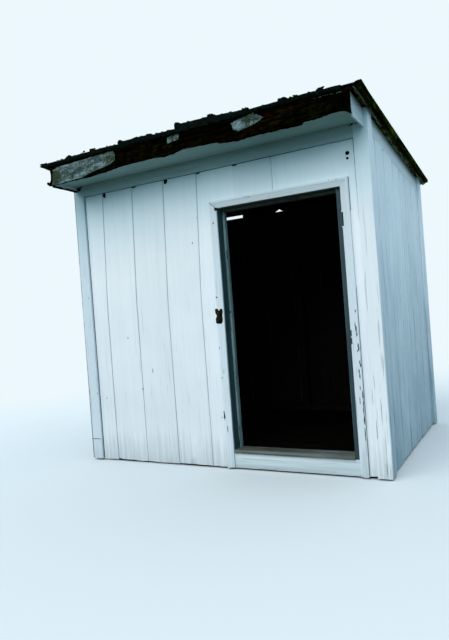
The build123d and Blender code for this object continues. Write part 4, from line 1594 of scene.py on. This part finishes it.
    def peeling(self) -> None:
        """Leaves a broken line of pale paint along the fascia's top at its right end."""
        pick = random.Random(31)
        top = self.lines.under_deck(self.lines.fascia)
        piece = Workpiece("peeling_paint_line")
        x = 1.010
        while x < 1.205:
            long, tall = 0.005 + 0.030 * pick.random() ** 2, pick.uniform(0.0008, 0.0034)
            lower = 0.008 * pick.random() ** 2
            rings = []
            for share in steps(0.0, 1.0, 5):
                fat = tall * math.sin(math.pi * (0.1 + 0.8 * share)) ** 0.5
                z = top + 0.001 - lower + 0.004 * wander(x * 30 + 2 * share, 0.2, 0.3, 3.0)
                rings.append([(x + long * share, self.lines.fascia + y, z + fat * v)
                              for y, v in ((0.001, -1.0), (-0.0035, -1.0), (-0.0035, 0.35), (0.001, 0.35))])
            piece.sweep(rings, pick.random())
            x += long + 0.003 + 0.030 * pick.random() ** 2
        hang(piece.make(self.finishes.flakes), "rotten_fascia")

    def end_panel(self, piece: Workpiece, side: Side) -> None:
        """Builds one closed end of the eave, coved at its lower front corner.

        Args:
            piece: the piece that takes it.
            side: the end's side.
        """
        lines = self.lines
        y0, y1 = lines.fascia + self.thickness, lines.front
        foot = lines.soffit - self.return_drop
        outline = [(y0 + self.cove * math.sin(turn), foot + self.cove * math.cos(turn))
                   for turn in steps(0.0, math.pi / 2, 8)]
        outline += [(y1, foot), *((y, lines.under_deck(y)) for y in steps(y1, y0, 6))]
        outer, inner = side.value * self.reach, side.value * (self.reach - self.end_board)
        rings = [[(x, y, z) for y, z in outline] for x in (inner, outer - side.value * 0.001)]
        centre = ((y0 + y1) / 2, (foot + lines.under_deck(y0)) / 2)
        rings.append([(outer, y + (centre[0] - y) * 0.008, z + (centre[1] - z) * 0.012) for y, z in outline])
        piece.sweep(rings, 0.5 + 0.2 * side.value)


@dataclass
class RoofCover(SubAssembly):
    """The boards of the deck, the shingles laid on them, the cap along the high edge and the verges."""

    deck_back: float = 1.1755
    deck_half: float = 1.284
    deck_boards_count: int = 17
    verge: float = 0.019
    verge_depth: float = 0.035
    exposure: float = 0.127
    tab: float = 0.305
    # The caps: the left end, how far it curls, and how high the cap is heaped at its left and right.
    caps: tuple[Mark, ...] = (
        (-1.292, 0.010, 0.0, 0.0), (-1.022, 0.011, 0.005, 0.006), (-0.778, 0.012, 0.009, 0.003),
        (-0.505, 0.009, 0.015, 0.013), (-0.248, 0.016, 0.003, 0.002), (0.000, 0.009, 0.029, 0.022),
        (0.268, 0.014, 0.023, 0.006), (0.530, 0.014, 0.0, 0.0), (0.782, 0.012, 0.002, 0.003),
        (1.034, 0.010, 0.0, 0.0))
    bare_corner: float = 1.185
    # The verge's folds: how far each hangs down, how far it stands out, and its shade.
    folds: tuple[Point, ...] = ((0.036, 0.0004, 0.35), (0.024, 0.0, 0.9), (0.011, 0.0028, 0.15))

    def build(self) -> None:
        """Builds the roof from the deck up."""
        self.deck_boards()
        self.verge_boards()
        self.shingles()
        self.splinters()

    def deck_boards(self) -> None:
        """Builds the deck's boards, laid across the rafters.

        They are near black over the room as painted shade, mossy where the ends stand out past the walls, and
        grey and splintered at the back; the left ends of the front boards have rotted off under the felt.
        """
        lines, finishes = self.lines, self.finishes
        piece = Workpiece("roof_deck_boards")
        wall = lines.frame_right + lines.board
        joints = steps(lines.fascia, self.deck_back, self.deck_boards_count)
        for i, (a, b) in enumerate((near, far - 0.002) for near, far in zip(joints, joints[1:])):
            section = [(a, lines.under_deck(a)), (b, lines.under_deck(b)), (b, lines.under_cover(b) - 0.0006),
                       (a, lines.under_cover(a) - 0.0006)]
            left = -wall - 0.001 if a < -0.90 else -self.deck_half
            ends = 2 if a > 0.9 else 3 if i else 0
            for start, end, finish in ((left, -wall, ends), (-wall, wall, int(a > -0.83)),
                                       (wall, self.deck_half, ends)):
                Stick(Axis.X, section, level(start), level(end), radius=0.0015, flat=0.05, step=0.12, bow=0.0,
                      rough=0.0, seed=20 + i, finish=finish).put(piece)
        hang(piece.make(finishes.deck_wood, finishes.deck_underside_shade, finishes.splinter_wood,
                        finishes.overhang_wood), "roof_boards", "roof_deck")

    def verge_boards(self) -> None:
        """Builds the boards that close the sides of the roof, the left one rotted away at its front."""
        lines, back = self.lines, self.deck_back
        piece = Workpiece("worn_verge_boards")
        for side in Side:
            section = box_section(side.value * (self.deck_half + self.verge), side.value * self.deck_half,
                                  -self.verge_depth, 0.0)
            outline, wear = rounded(section, 0.0025, 0.016)
            front = lines.fascia if side is Side.RIGHT else -1.01
            rings = []
            for y in steps(front, back, 60):
                sound = min(1.0, 0.3 + (back - y) / 0.12)
                if side is Side.LEFT:
                    sound = min(sound, 0.15 + (y - front) / 0.12)
                ring = []
                for u, v in outline:
                    ragged = 0.0035 * wander(0.3, y * 14, 0.4, 6.0 + side.value) if v < -0.025 else 0.0
                    ring.append((u + 0.0006 * wander(u * 30, v * 40, y * 12, 4.0), y,
                                 lines.under_cover(y) + v * sound + ragged))
                rings.append(ring)
            piece.sweep(rings, 0.5, (), 0, wear)
        hang(piece.make(self.finishes.verge_wood), "rotten_fascia", "verge_boards")

    def shingles(self) -> None:
        """Lays the felt, the courses of shingles from the low edge up, and the cap along the high edge."""
        lines, finishes = self.lines, self.finishes
        piece = Workpiece("felt_shingles")
        self.underlay(piece)
        pick = random.Random(7)
        rows = int((lines.tail - lines.eave - 0.10) / self.exposure) + 1
        for course in range(rows):
            butt = lines.tail - 0.002 - course * self.exposure
            x = -lines.roof_half - ((course % 2) * self.tab / 2 + pick.uniform(-0.01, 0.01))
            while x < lines.roof_half - 0.02:
                a = max(x + 0.002, -lines.roof_half + pick.uniform(0, 0.006))
                b = min(x + self.tab - 0.004, lines.roof_half - pick.uniform(0, 0.006))
                if course == rows - 1:
                    b = min(b, self.bare_corner)
                if b - a > 0.03:
                    self.one_tab(piece, a, b, butt + pick.uniform(-0.003, 0.003), pick)
                x += self.tab
        ends = [*(cap[0] + 0.035 for cap in self.caps[1:]), self.bare_corner]
        for (start, curl, _, _), end in zip(self.caps, ends):
            self.one_cap(piece, start, end, curl, pick)
        self.torn_edge(piece)
        self.verge_fold(piece)
        hang(piece.make(finishes.felt, finishes.fold_moss, finishes.field_felt), "roofing", "roofing")

    def underlay(self, piece: Workpiece) -> None:
        """Lays the bottom felt over the whole deck.

        Args:
            piece: the roofing.
        """
        lines = self.lines
        xs = steps(0.001 - lines.roof_half, lines.roof_half - 0.001, 12)
        piece.sweep([[(x, y, lines.under_cover(y) + 0.0002) for x in xs]
                     + [(x, y, lines.under_cover(y) + 0.0045) for x in reversed(xs)]
                     for y in steps(lines.eave + 0.003, lines.tail - 0.003, 24)], 0.3)

    def one_tab(self, piece: Workpiece, a: float, b: float, butt: float, pick: random.Random) -> None:
        """Lays one tab of a shingle, with its butt edge down the slope.

        Args:
            piece: the roofing.
            a: the tab's left edge.
            b: its right edge.
            butt: the place of its lower edge.
            pick: the roof's own chance.
        """
        lines = self.lines
        head = max(butt - self.exposure - 0.035, lines.eave + 0.004)
        curl_left, curl_right = (pick.random() ** 4 * 0.009 for _ in range(2))
        lift = pick.uniform(0.0, 0.0015)
        seed = pick.uniform(0, 50)
        tone = pick.random()
        rings = []
        for share in steps(0.0, 1.0, 5):
            y = head + (butt - head) * share
            top, low = [], []
            for s in steps(0.0, 1.0, 6):
                x = a + (b - a) * s
                rise = 0.0050 + 0.0042 * share
                rise += (curl_left * (1 - s) ** 3 + curl_right * s ** 3) * share ** 3 + lift * share
                ragged = 0.003 * wander(x * 40, 0.3, 0.7, seed) if share == 1.0 else 0.0
                z = lines.under_cover(y) + rise + 0.0006 * wander(x * 9, y * 9, 0.0, seed)
                top.append((x, y + ragged, z + 0.0032))
                low.append((x, y + ragged, z))
            rings.append(low + list(reversed(top)))
        piece.sweep(rings, tone, (2,) * len(rings[0]), 2)

    def heap(self, x: float) -> float:
        """How high the cap shingle at x has buckled on the layers and moss under it.

        Args:
            x: the place along the high edge.

        Returns:
            The height in metres.
        """
        ends = [*(cap[0] for cap in self.caps[1:]), self.bare_corner]
        for (start, _, first, last), end in zip(self.caps, ends):
            if start <= x < end:
                return first + (last - first) * (x - start) / (end - start)
        return 0.0

    def one_cap(self, piece: Workpiece, a: float, b: float, curl: float, pick: random.Random) -> None:
        """Bends one cap shingle over the high edge; its left end is curled and shows as a bump.

        Args:
            piece: the roofing.
            a: the cap's left, exposed end.
            b: its right end, under the next one.
            curl: how far its left end curls up.
            pick: the roof's own chance.
        """
        lines = self.lines
        seed = pick.uniform(0, 50)
        drop = 0.026 + pick.uniform(-0.004, 0.006)
        tone = pick.random()
        # Back from the bend, fall below the roof and share of the heap, from the field to the edge's foot.
        profile = ((0.150, 0.0, 0.0), (0.10, 0.0, 0.3), (0.05, 0.0, 0.7), (0.018, 0.0, 0.92),
                   (0.006, -0.0015, 1.0), (0.0015, -0.006, 1.0), (0.0, -0.015, 0.8),
                   (0.0005, -0.6 * drop - 0.004, 0.35), (0.002, -drop, 0.0))
        rings = []
        count = max(4, round((b - a) / 0.008))
        for i, x in enumerate(steps(a, b, count)):
            lift = curl * min(1.0, max(0.0, (0.047 - (x - a)) / 0.010))
            lift *= 0.9 + 0.6 * wander(x * 70, 0.3, 0.1, seed)
            under = -0.0025 * min(1.0, max(0.0, (i / count - 0.8) * 5))
            heap = max(0.0, self.heap(min(x, b - 0.036)) - 2 * abs(under))
            ragged = 0.007 * wander(x * 50, 0.4, 0.2, seed) + 0.004 * wander(x * 170, 0.4, 0.2, seed)
            top, low = [], []
            for k, (back, fall, share) in enumerate(profile):
                y = lines.eave + 0.0045 + back
                z = lines.roof_top(lines.eave + back) + 0.0015 + under + fall + (ragged if k == 8 else 0.0)
                z += lift * (1.0 if k < 6 else 0.4) + 0.0014 * wander(x * 24, k * 0.7, 0.1, seed)
                outward = 0.0030 + lift * 0.25 if k > 4 else 0.0
                top.append((x, y - outward, z + 0.003 + heap * share))
                low.append((x, y, z - (0.0 if k > 5 else 0.001) + (heap * share if k > 5 else 0.0)))
            rings.append(low + list(reversed(top)))
        piece.sweep(rings, tone)

    def torn_edge(self, piece: Workpiece) -> None:
        """Leaves torn bits of felt and moss cushions along the high edge, thickest at the caps' curled ends.

        Args:
            piece: the roofing.
        """
        pick = random.Random(19)
        lines = self.lines
        places = [(cap[0] + pick.uniform(0.0, 0.045), 1.0) for cap in self.caps[1:] for _ in range(4)]
        places += [(pick.uniform(-1.28, 1.16), 0.55) for _ in range(60)]
        places += [(-1.302, 1.0), (-1.306, 0.7), (-1.296, 0.9), (-0.838, 1.2), (0.004, 1.3), (0.012, 1.2),
                   (0.022, 1.3)]
        for x, share in places:
            wide, tall = pick.uniform(0.008, 0.015) * (0.6 + 0.4 * share), pick.uniform(0.003, 0.0065) * share
            y = lines.eave + pick.uniform(0.002, 0.02)
            base = lines.roof_top(y) + 0.0035 + (0.006 * share if share > 0.9 else 0.0) + self.heap(x)
            lean, seed = pick.uniform(-0.5, 0.5), pick.uniform(0, 50)
            rings = []
            for k in range(7):
                up = math.pi * k / 6
                ring = []
                for t in turns(9):
                    stray = 1 + 0.55 * wander(math.cos(t) * 1.1, math.sin(t) * 1.1, k * 0.6, seed)
                    u = wide * stray * math.sin(up) * math.cos(t)
                    v = 0.7 * wide * stray * math.sin(up) * math.sin(t)
                    w = -tall * math.cos(up) * stray
                    ring.append((x + u + lean * w, y + v, base + w + lean * 0.3 * u))
                rings.append(ring)
            piece.sweep(rings, pick.random())

    def verge_fold(self, piece: Workpiece) -> None:
        """Rolls the felt over the verge boards in three layers, with a round end at the front.

        Args:
            piece: the roofing.
        """
        lines = self.lines
        for side in Side:
            for layer, (drop, out, tone) in enumerate(self.folds):
                x = self.deck_half + self.verge + out
                rings = []
                for y in steps(lines.eave - 0.001, lines.tail - 0.004, 64):
                    end = min(1.0, (y - lines.eave + 0.0015) / 0.016) ** 0.5
                    crest = 0.010 * max(0.0, 1 - (y - lines.eave) / 0.20) if side is Side.RIGHT else 0.0
                    top = lines.under_cover(y) + (0.0165 + 0.0008 * layer + crest) * end
                    sound = min(1.0, 0.2 + (lines.tail - y) / 0.14)
                    if side is Side.LEFT:
                        sound = min(sound, 0.08 + max(0.0, y + 1.05) / 0.25)
                    low = lines.under_cover(y) - drop * (0.25 + 0.75 * end) * sound
                    low += 0.004 * wander(0.1, y * 11, 0.5, 3.0 + layer + side.value)
                    wave = 0.0007 * wander(0.5, y * 12, 0.1, 7.0 + layer)
                    profile = [(x - 0.030, top - 0.003), (x - 0.006, top - 0.0006), (x - 0.001, top - 0.0035),
                               (x + wave, (top + low) / 2), (x + wave * 1.5, low),
                               (x + 0.0016 + wave * 1.5, low), (x + 0.0016 + wave, (top + low) / 2),
                               (x + 0.001, top - 0.0022), (x - 0.005, top + 0.0014), (x - 0.030, top)]
                    rings.append([(side.value * u, y, v) for u, v in profile])
                piece.sweep(rings, tone, (1,) * 10, 1)

    def splinters(self) -> None:
        """Hangs torn slivers of grey wood along the sides' tops, under the deck's edge."""
        lines = self.lines
        piece = Workpiece("splintered_deck_edge")
        pick = random.Random(23)
        for side in Side:
            spans = [(pick.uniform(-1.13, 1.10), pick.uniform(0.03, 0.14), pick.uniform(0.006, 0.018), 0.0)
                     for _ in range(46)]
            spans += [(1.168 - 0.01 * k, pick.uniform(0.06, 0.11), pick.uniform(0.014, 0.030), 0.012)
                      for k in range(7)]
            spans += [(-1.158 + 0.02 * k, pick.uniform(0.03, 0.06), pick.uniform(0.008, 0.016), 0.0)
                      for k in range(4)]
            for middle, length, thick, beyond in spans:
                if side is Side.LEFT and middle < -0.85:
                    continue
                start, end = middle - length / 2, min(middle + length / 2 + beyond, lines.tail - 0.001)
                across = pick.uniform(1.2580, 1.268) if abs(middle) > 0.76 else pick.uniform(1.2390, 1.262)
                wide = pick.uniform(0.004, 0.011)
                seed = pick.uniform(0, 50)
                rings = []
                for share in steps(0.0, 1.0, 6):
                    y = start + (end - start) * share
                    fat = 1 - 0.8 * share ** 2 if beyond else math.sin(math.pi * (0.08 + 0.84 * share)) ** 0.6
                    fall = thick * fat * (0.8 + 0.5 * wander(0, y * 60, 0, seed))
                    x = across + 0.002 * wander(0.4, y * 40, 0, seed)
                    top = lines.under_deck(y) + 0.0012
                    rings.append([(side.value * (x + wide * fat * u), y, top - fall * v)
                                  for u, v in ((0.0, 0.0), (1.0, 0.0), (0.8, 0.7), (0.3, 1.0))])
                piece.sweep(rings, pick.random())
        hang(piece.make(self.finishes.splinter_wood), "roof_boards")


@dataclass
class TimberFrame(SubAssembly):
    """The sawn frame inside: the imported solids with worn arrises, dressed as rough timber."""

    packed: dict
    upright: tuple[str, ...] = ("front_studs", "back_studs", "left_studs", "right_studs")
    level: tuple[str, ...] = ("front_plates", "back_plates", "door_header", "sills", "bay_blocks")
    deep: tuple[str, ...] = ("side_plates", "rafters", "floor_joists")
    planks: tuple[str, ...] = ("floor_planks",)
    arris: float = 0.002

    def build(self) -> None:
        """Wears and dresses every timber."""
        finishes = self.finishes
        slots = {s["node"]: s["material_slot"] for s in self.packed["record"]["subparts"]}
        # The frame's finishes are near black: painted shade of the room.
        for names, finish in ((self.upright, finishes.upright_timber), (self.level, finishes.level_timber),
                              (self.deep, finishes.rafter_timber), (self.planks, finishes.floor_wood)):
            for name in names:
                hang(self.worn(self.packed["nodes"][name], finish), slots[name], name)

    def worn(self, node: bpy.types.Object, finish: bpy.types.Material) -> bpy.types.Object:
        """Makes a worn copy of a node's solids.

        Args:
            node: the CAD node.
            finish: the copy's material.

        Returns:
            The copy.
        """
        work = bmesh.new()
        work.from_mesh(node.data)
        bmesh.ops.remove_doubles(work, verts=work.verts, dist=0.00005)
        bmesh.ops.dissolve_limit(work, angle_limit=math.radians(1), verts=work.verts, edges=work.edges)
        edges = [e for e in work.edges if len(e.link_faces) == 2 and e.calc_face_angle(0) > math.radians(20)]
        bmesh.ops.bevel(work, geom=edges, offset=self.arris, segments=2, affect="EDGES", profile=0.6)
        data = bpy.data.meshes.new(f"worn_{node.name}")
        work.to_mesh(data)
        work.free()
        data.materials.clear()
        data.materials.append(finish)
        data.polygons.foreach_set("material_index", [0] * len(data.polygons))
        note(data, "tone", [(round(v.co.x, 0) * 0.37 + round(v.co.y, 0) * 0.21) % 1 for v in data.vertices])
        data.shade_smooth()
        data.set_sharp_from_angle(angle=math.radians(35))
        return linked(f"worn_{node.name}", data)


@dataclass
class BareAndShadedSpots(SubAssembly):
    """Flaked spots on the casing, boards and corner boards, painted shade in recesses, and painted shade in
    creases.

    Each spot is its middle's x and z, its width and its height.
    """

    casing: tuple[Mark, ...] = (
        (1.090, 1.109, 0.006, 0.016), (1.083, 1.022, 0.007, 0.034), (1.086, 0.992, 0.009, 0.044),
        (1.089, 0.958, 0.007, 0.030), (1.092, 0.882, 0.009, 0.026), (1.096, 0.862, 0.011, 0.028),
        (1.085, 0.848, 0.005, 0.014), (1.096, 0.772, 0.008, 0.030), (1.100, 0.752, 0.007, 0.024),
        (1.086, 0.712, 0.006, 0.034), (1.089, 0.682, 0.007, 0.030), (1.086, 0.606, 0.005, 0.028),
        (1.099, 0.556, 0.007, 0.050), (1.100, 0.505, 0.005, 0.060), (1.098, 0.450, 0.007, 0.060),
        (1.099, 0.392, 0.006, 0.060), (1.098, 0.300, 0.006, 0.090), (1.078, 0.520, 0.004, 0.050),
        (0.075, 1.834, 0.008, 0.012), (0.058, 1.283, 0.014, 0.012), (0.052, 0.400, 0.012, 0.070),
        (0.053, 0.907, 0.006, 0.014), (0.054, 0.683, 0.006, 0.014), (0.070, 0.300, 0.006, 0.050),
        (0.100, 1.932, 0.024, 0.020))
    boards: tuple[Mark, ...] = (
        (-0.127, 1.713, 0.007, 0.016), (-0.585, 0.745, 0.006, 0.050), (-0.811, 1.020, 0.008, 0.014),
        (-1.082, 0.525, 0.005, 0.012), (-0.700, 0.600, 0.004, 0.018), (0.020, 0.384, 0.005, 0.016))
    corners: tuple[Mark, ...] = (
        (-1.183, 1.379, 0.011, 0.008), (-1.166, 0.568, 0.006, 0.014), (-1.206, 0.180, 0.096, 0.005),
        (1.214, 0.450, 0.0022, 0.150), (1.176, 0.330, 0.0022, 0.120))
    pale: tuple[Mark, ...] = (
        (1.047, 1.773, 0.009, 0.014), (1.047, 1.668, 0.009, 0.012), (1.050, 0.993, 0.007, 0.012),
        (1.049, 0.940, 0.006, 0.010), (1.050, 0.887, 0.007, 0.012))
    # Dark spots in the hinge recesses and at the top of the hinge jamb's strip: painted shade in the bare
    # wood's colour.
    shaded_recesses: tuple[Mark, ...] = (
        (1.0495, 1.720, 0.010, 0.092), (1.0495, 0.966, 0.009, 0.034), (1.0495, 0.914, 0.009, 0.034),
        (1.030, 1.925, 0.030, 0.022))

    def build(self) -> None:
        """Lays the spots on their faces."""
        piece = Workpiece("flaked_and_shaded_spots")
        face = self.lines.boards_face
        # The casing's face falls from its flat outer band to its thin inner edge, and the spots follow it.
        for i, mark in enumerate(self.casing):
            across = min(abs(mark[0] - self.lines.casing_left), abs(mark[0] - self.lines.casing_right))
            self.spot(piece, mark, face - (0.0190 if across > 0.039 else 0.011 + 0.0058 * across / 0.0365), i)
        for marks, y, seed in ((self.boards, face, 50), (self.corners, self.lines.front, 70),
                               (self.shaded_recesses, face, 80)):
            for i, mark in enumerate(marks):
                self.spot(piece, mark, y, seed + i)
        hang(piece.make(self.finishes.bare_and_shade_spot), "painted_trim")
        chips = Workpiece("loose_paint_chips")
        for i, mark in enumerate(self.pale):
            self.spot(chips, mark, face - 0.010, 90 + i)
        hang(chips.make(self.finishes.trim_paint), "painted_trim")
        self.creases()

    def creases(self) -> None:
        """Draws painted shade, with some soiling, beside the trim, in the open mitre and under the frieze."""
        front, face = self.lines.front, self.lines.boards_face
        piece = Workpiece("painted_crease_shade")
        # For each crease: its x, the way that it opens, its foot and top, its width at each and its face.
        for x, way, low, high, at_low, at_high, y in (
                (-1.159, 1, 0.02, 2.2335, 0.0080, 0.0022, face),
                (1.159, -1, 1.70, 2.2335, 0.0055, 0.0100, face),
                (1.102, 1, 0.02, 1.990, 0.0030, 0.0034, face),
                (-1.2572, 1, 0.02, 2.28, 0.0045, 0.0035, front),
                (1.0455, -1, 0.15, 1.93, 0.0040, 0.0040, face),
                (1.0145, 1, 0.15, 1.93, 0.0030, 0.0030, face)):
            rings = []
            count = max(8, round((high - low) / 0.03))
            for i, z in enumerate(steps(low, high, count)):
                wide = at_low + (at_high - at_low) * i / count + 0.0009 * wander(0, 0, z * 22, x)
                rings.append([(x - way * 0.0006, y - 0.0009, z), (x - way * 0.0006, y + 0.002, z),
                              (x + way * wide, y + 0.002, z), (x + way * wide, y - 0.0009, z)])
            piece.sweep(rings)
        # The open mitre's crack holds a dark filler: painted shade.
        corner = self.lines.casing_head + self.lines.casing_left
        piece.sweep([[(x, face + back, corner - x + rise)
                      for back, rise in ((0.001, -0.0075), (-0.0085, -0.0075), (-0.0085, 0.0), (0.001, 0.0))]
                     for x in (0.0485, 0.067, 0.086, 0.1045)], 0.1)
        # A dark strip under the frieze's foot: a painted shadow line.
        z = self.lines.soffit - self.lines.frieze
        piece.sweep([[(x, u, v) for u, v in box_section(
            face - 0.004, face + 0.002, z - 0.0026 - 0.0012 * wander(x * 6, 0.3, 0.1, 2.0), z + 0.002)]
            for x in steps(-1.158, 1.158, 30)])
        hang(piece.make(self.finishes.grime_and_shade), "painted_boards")

    def spot(self, piece: Workpiece, mark: Mark, y: float, seed: float) -> None:
        """Lays one spot with an uneven rim.

        Args:
            piece: the piece that takes it.
            mark: the spot's middle, width and height.
            y: the painted face.
            seed: picks its rim.
        """
        x, z, width, height = mark
        rim = []
        for t in turns(14):
            stray = 1 + 0.8 * wander(math.cos(t) * 2.6, math.sin(t) * 2.6, 0.2, seed)
            rim.append((width / 2 * stray * math.cos(t), height / 2 * stray * math.sin(t)))
        piece.sweep([[(x + u * grow, y - out, z + v * grow) for u, v in rim]
                     for grow, out in ((1.0, -0.003), (1.0, 0.0011), (0.7, 0.0016))])


@dataclass
class Studio:
    """The pale floor, the soft light and the camera at the photograph's place."""

    eye: Point = (2.110, -4.5135, 1.134)
    yaw: float = 28.73
    pitch: float = -0.31
    roll: float = 4.24
    lens: float = 31.68
    sensor: float = 36
    backdrop: str = "ecf8fd"
    floor_tone: str = "c8ced1"
    floor_bounce: str = "38443a"
    floor_half: float = 60
    sky: str = "dff2fd"
    low_sky: str = "9ac3d7"
    sky_strength: float = 1.3
    key_tone: str = "fff9f2"
    key_strength: float = 1.8
    key_spread: float = 60
    key_way: Point = (0.15, 0.82, -0.72)

    def build(self) -> None:
        """Sets up the floor, the lights and the camera."""
        self.floor()
        self.world()
        self.key()
        self.camera()

    def floor(self) -> None:
        """Lays the floor; away from the shed it fades to the backdrop's colour."""
        bench = NodeBench(bpy.data.materials.new("studio_floor"))
        distance = bench.add("VectorMath", {"operation": "LENGTH"}, {0: bench.place})
        fade = bench.add("MapRange", {"interpolation_type": "SMOOTHSTEP", **span(2.0, 6.5)},
                         {"Value": (distance, "Value")})
        rays = bench.add("LightPath")
        seen = bench.add("Math", {"operation": "MAXIMUM"},
                         {0: (rays, "Is Camera Ray"), 1: (rays, "Is Glossy Ray")})
        colour = bench.add("Mix", {UNDER: self.floor_bounce, OVER: self.floor_tone}, {0: seen})
        matt = bench.add("BsdfDiffuse", {}, {"Color": colour})
        glow = bench.add("Emission", {"Color": self.backdrop, "Strength": 1.0})
        share = bench.add("Math", {"operation": "MULTIPLY"}, {0: fade, 1: seen})
        mixed = bench.add("MixShader", {}, {0: share, 1: matt, 2: glow})
        bench.add("OutputMaterial", {}, {"Surface": mixed})
        sheet = Workpiece("studio_floor")
        sheet.points = [(x, y, 0) for x, y in box_section(-self.floor_half, self.floor_half, -self.floor_half,
                                                          self.floor_half)]
        sheet.faces, sheet.finish_of = [(0, 1, 2, 3)], [0]
        sheet.tone = sheet.wear = sheet.grime_and_shade = [0.0] * 4
        sheet.make(bench.owner)

    def world(self) -> None:
        """Lights the shed from the whole sky; the camera sees the backdrop's colour."""
        world = bpy.data.worlds.new("studio_sky")
        bpy.context.scene.world = world
        bench = NodeBench(world)
        rays = bench.add("LightPath")
        seen = bench.add("Math", {"operation": "MAXIMUM"},
                         {0: (rays, "Is Camera Ray"), 1: (rays, "Is Transmission Ray")})
        height = bench.add("SeparateXYZ", {}, {0: (bench.place, "Generated")})
        rise = bench.add("MapRange", {"interpolation_type": "SMOOTHSTEP", **span(0.0, 0.6)},
                         {"Value": height})
        shade = bench.add("Mix", {UNDER: self.low_sky, OVER: self.sky}, {0: rise})
        sky = bench.add("Background", {"Strength": self.sky_strength}, {"Color": shade})
        pale = bench.add("Background", {"Color": self.backdrop, "Strength": 1.0})
        bench.add("OutputWorld", {}, {"Surface": bench.add("MixShader", {}, {0: seen, 1: sky, 2: pale})})

    def key(self) -> None:
        """Hangs a broad soft light high at the front left."""
        lamp = bpy.data.lights.new("soft_key", "SUN")
        lamp.energy = self.key_strength
        lamp.color = linear(self.key_tone)[:3]
        lamp.angle = math.radians(self.key_spread)
        towards = Vector(self.key_way).normalized()
        linked("soft_key", lamp).rotation_euler = towards.to_track_quat("-Z", "Y").to_euler()

    def camera(self) -> None:
        """Places the camera where the photograph was taken from."""
        data = bpy.data.cameras.new("photograph_camera")
        data.lens = self.lens
        data.sensor_width = self.sensor
        data.clip_end = 200
        holder = linked("photograph_camera", data)
        yaw, pitch, roll = (math.radians(v) for v in (self.yaw, self.pitch, self.roll))
        ahead = Vector((-math.sin(yaw) * math.cos(pitch), math.cos(yaw) * math.cos(pitch), math.sin(pitch)))
        right = Vector((math.cos(yaw), math.sin(yaw), 0.0))
        up = right.cross(ahead)
        turned_right = right * math.cos(roll) - up * math.sin(roll)
        turned_up = right * math.sin(roll) + up * math.cos(roll)
        matrix = Matrix((turned_right, turned_up, -ahead)).transposed().to_4x4()
        matrix.translation = Vector(self.eye)
        holder.matrix_world = matrix
        bpy.context.scene.camera = holder


def main() -> None:
    """Builds the shed's sub-assemblies in order and sets up the studio."""
    logging.basicConfig(level=logging.INFO, format="%(name)s %(message)s")
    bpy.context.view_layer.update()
    finishes = Finishes()
    TimberFrame(LINES, finishes, frame).build()
    FrontWall(LINES, finishes).build()
    for side in Side:
        SideWall(LINES, finishes, side).build()
    for assembly in (BackWall, CornerTrim, Doorway, BoxedEave, RoofCover, BareAndShadedSpots):
        assembly(LINES, finishes).build()
    Studio().build()
    bpy.context.scene.view_settings.view_transform = "Standard"


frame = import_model()

if __name__ == "__main__":
    main()
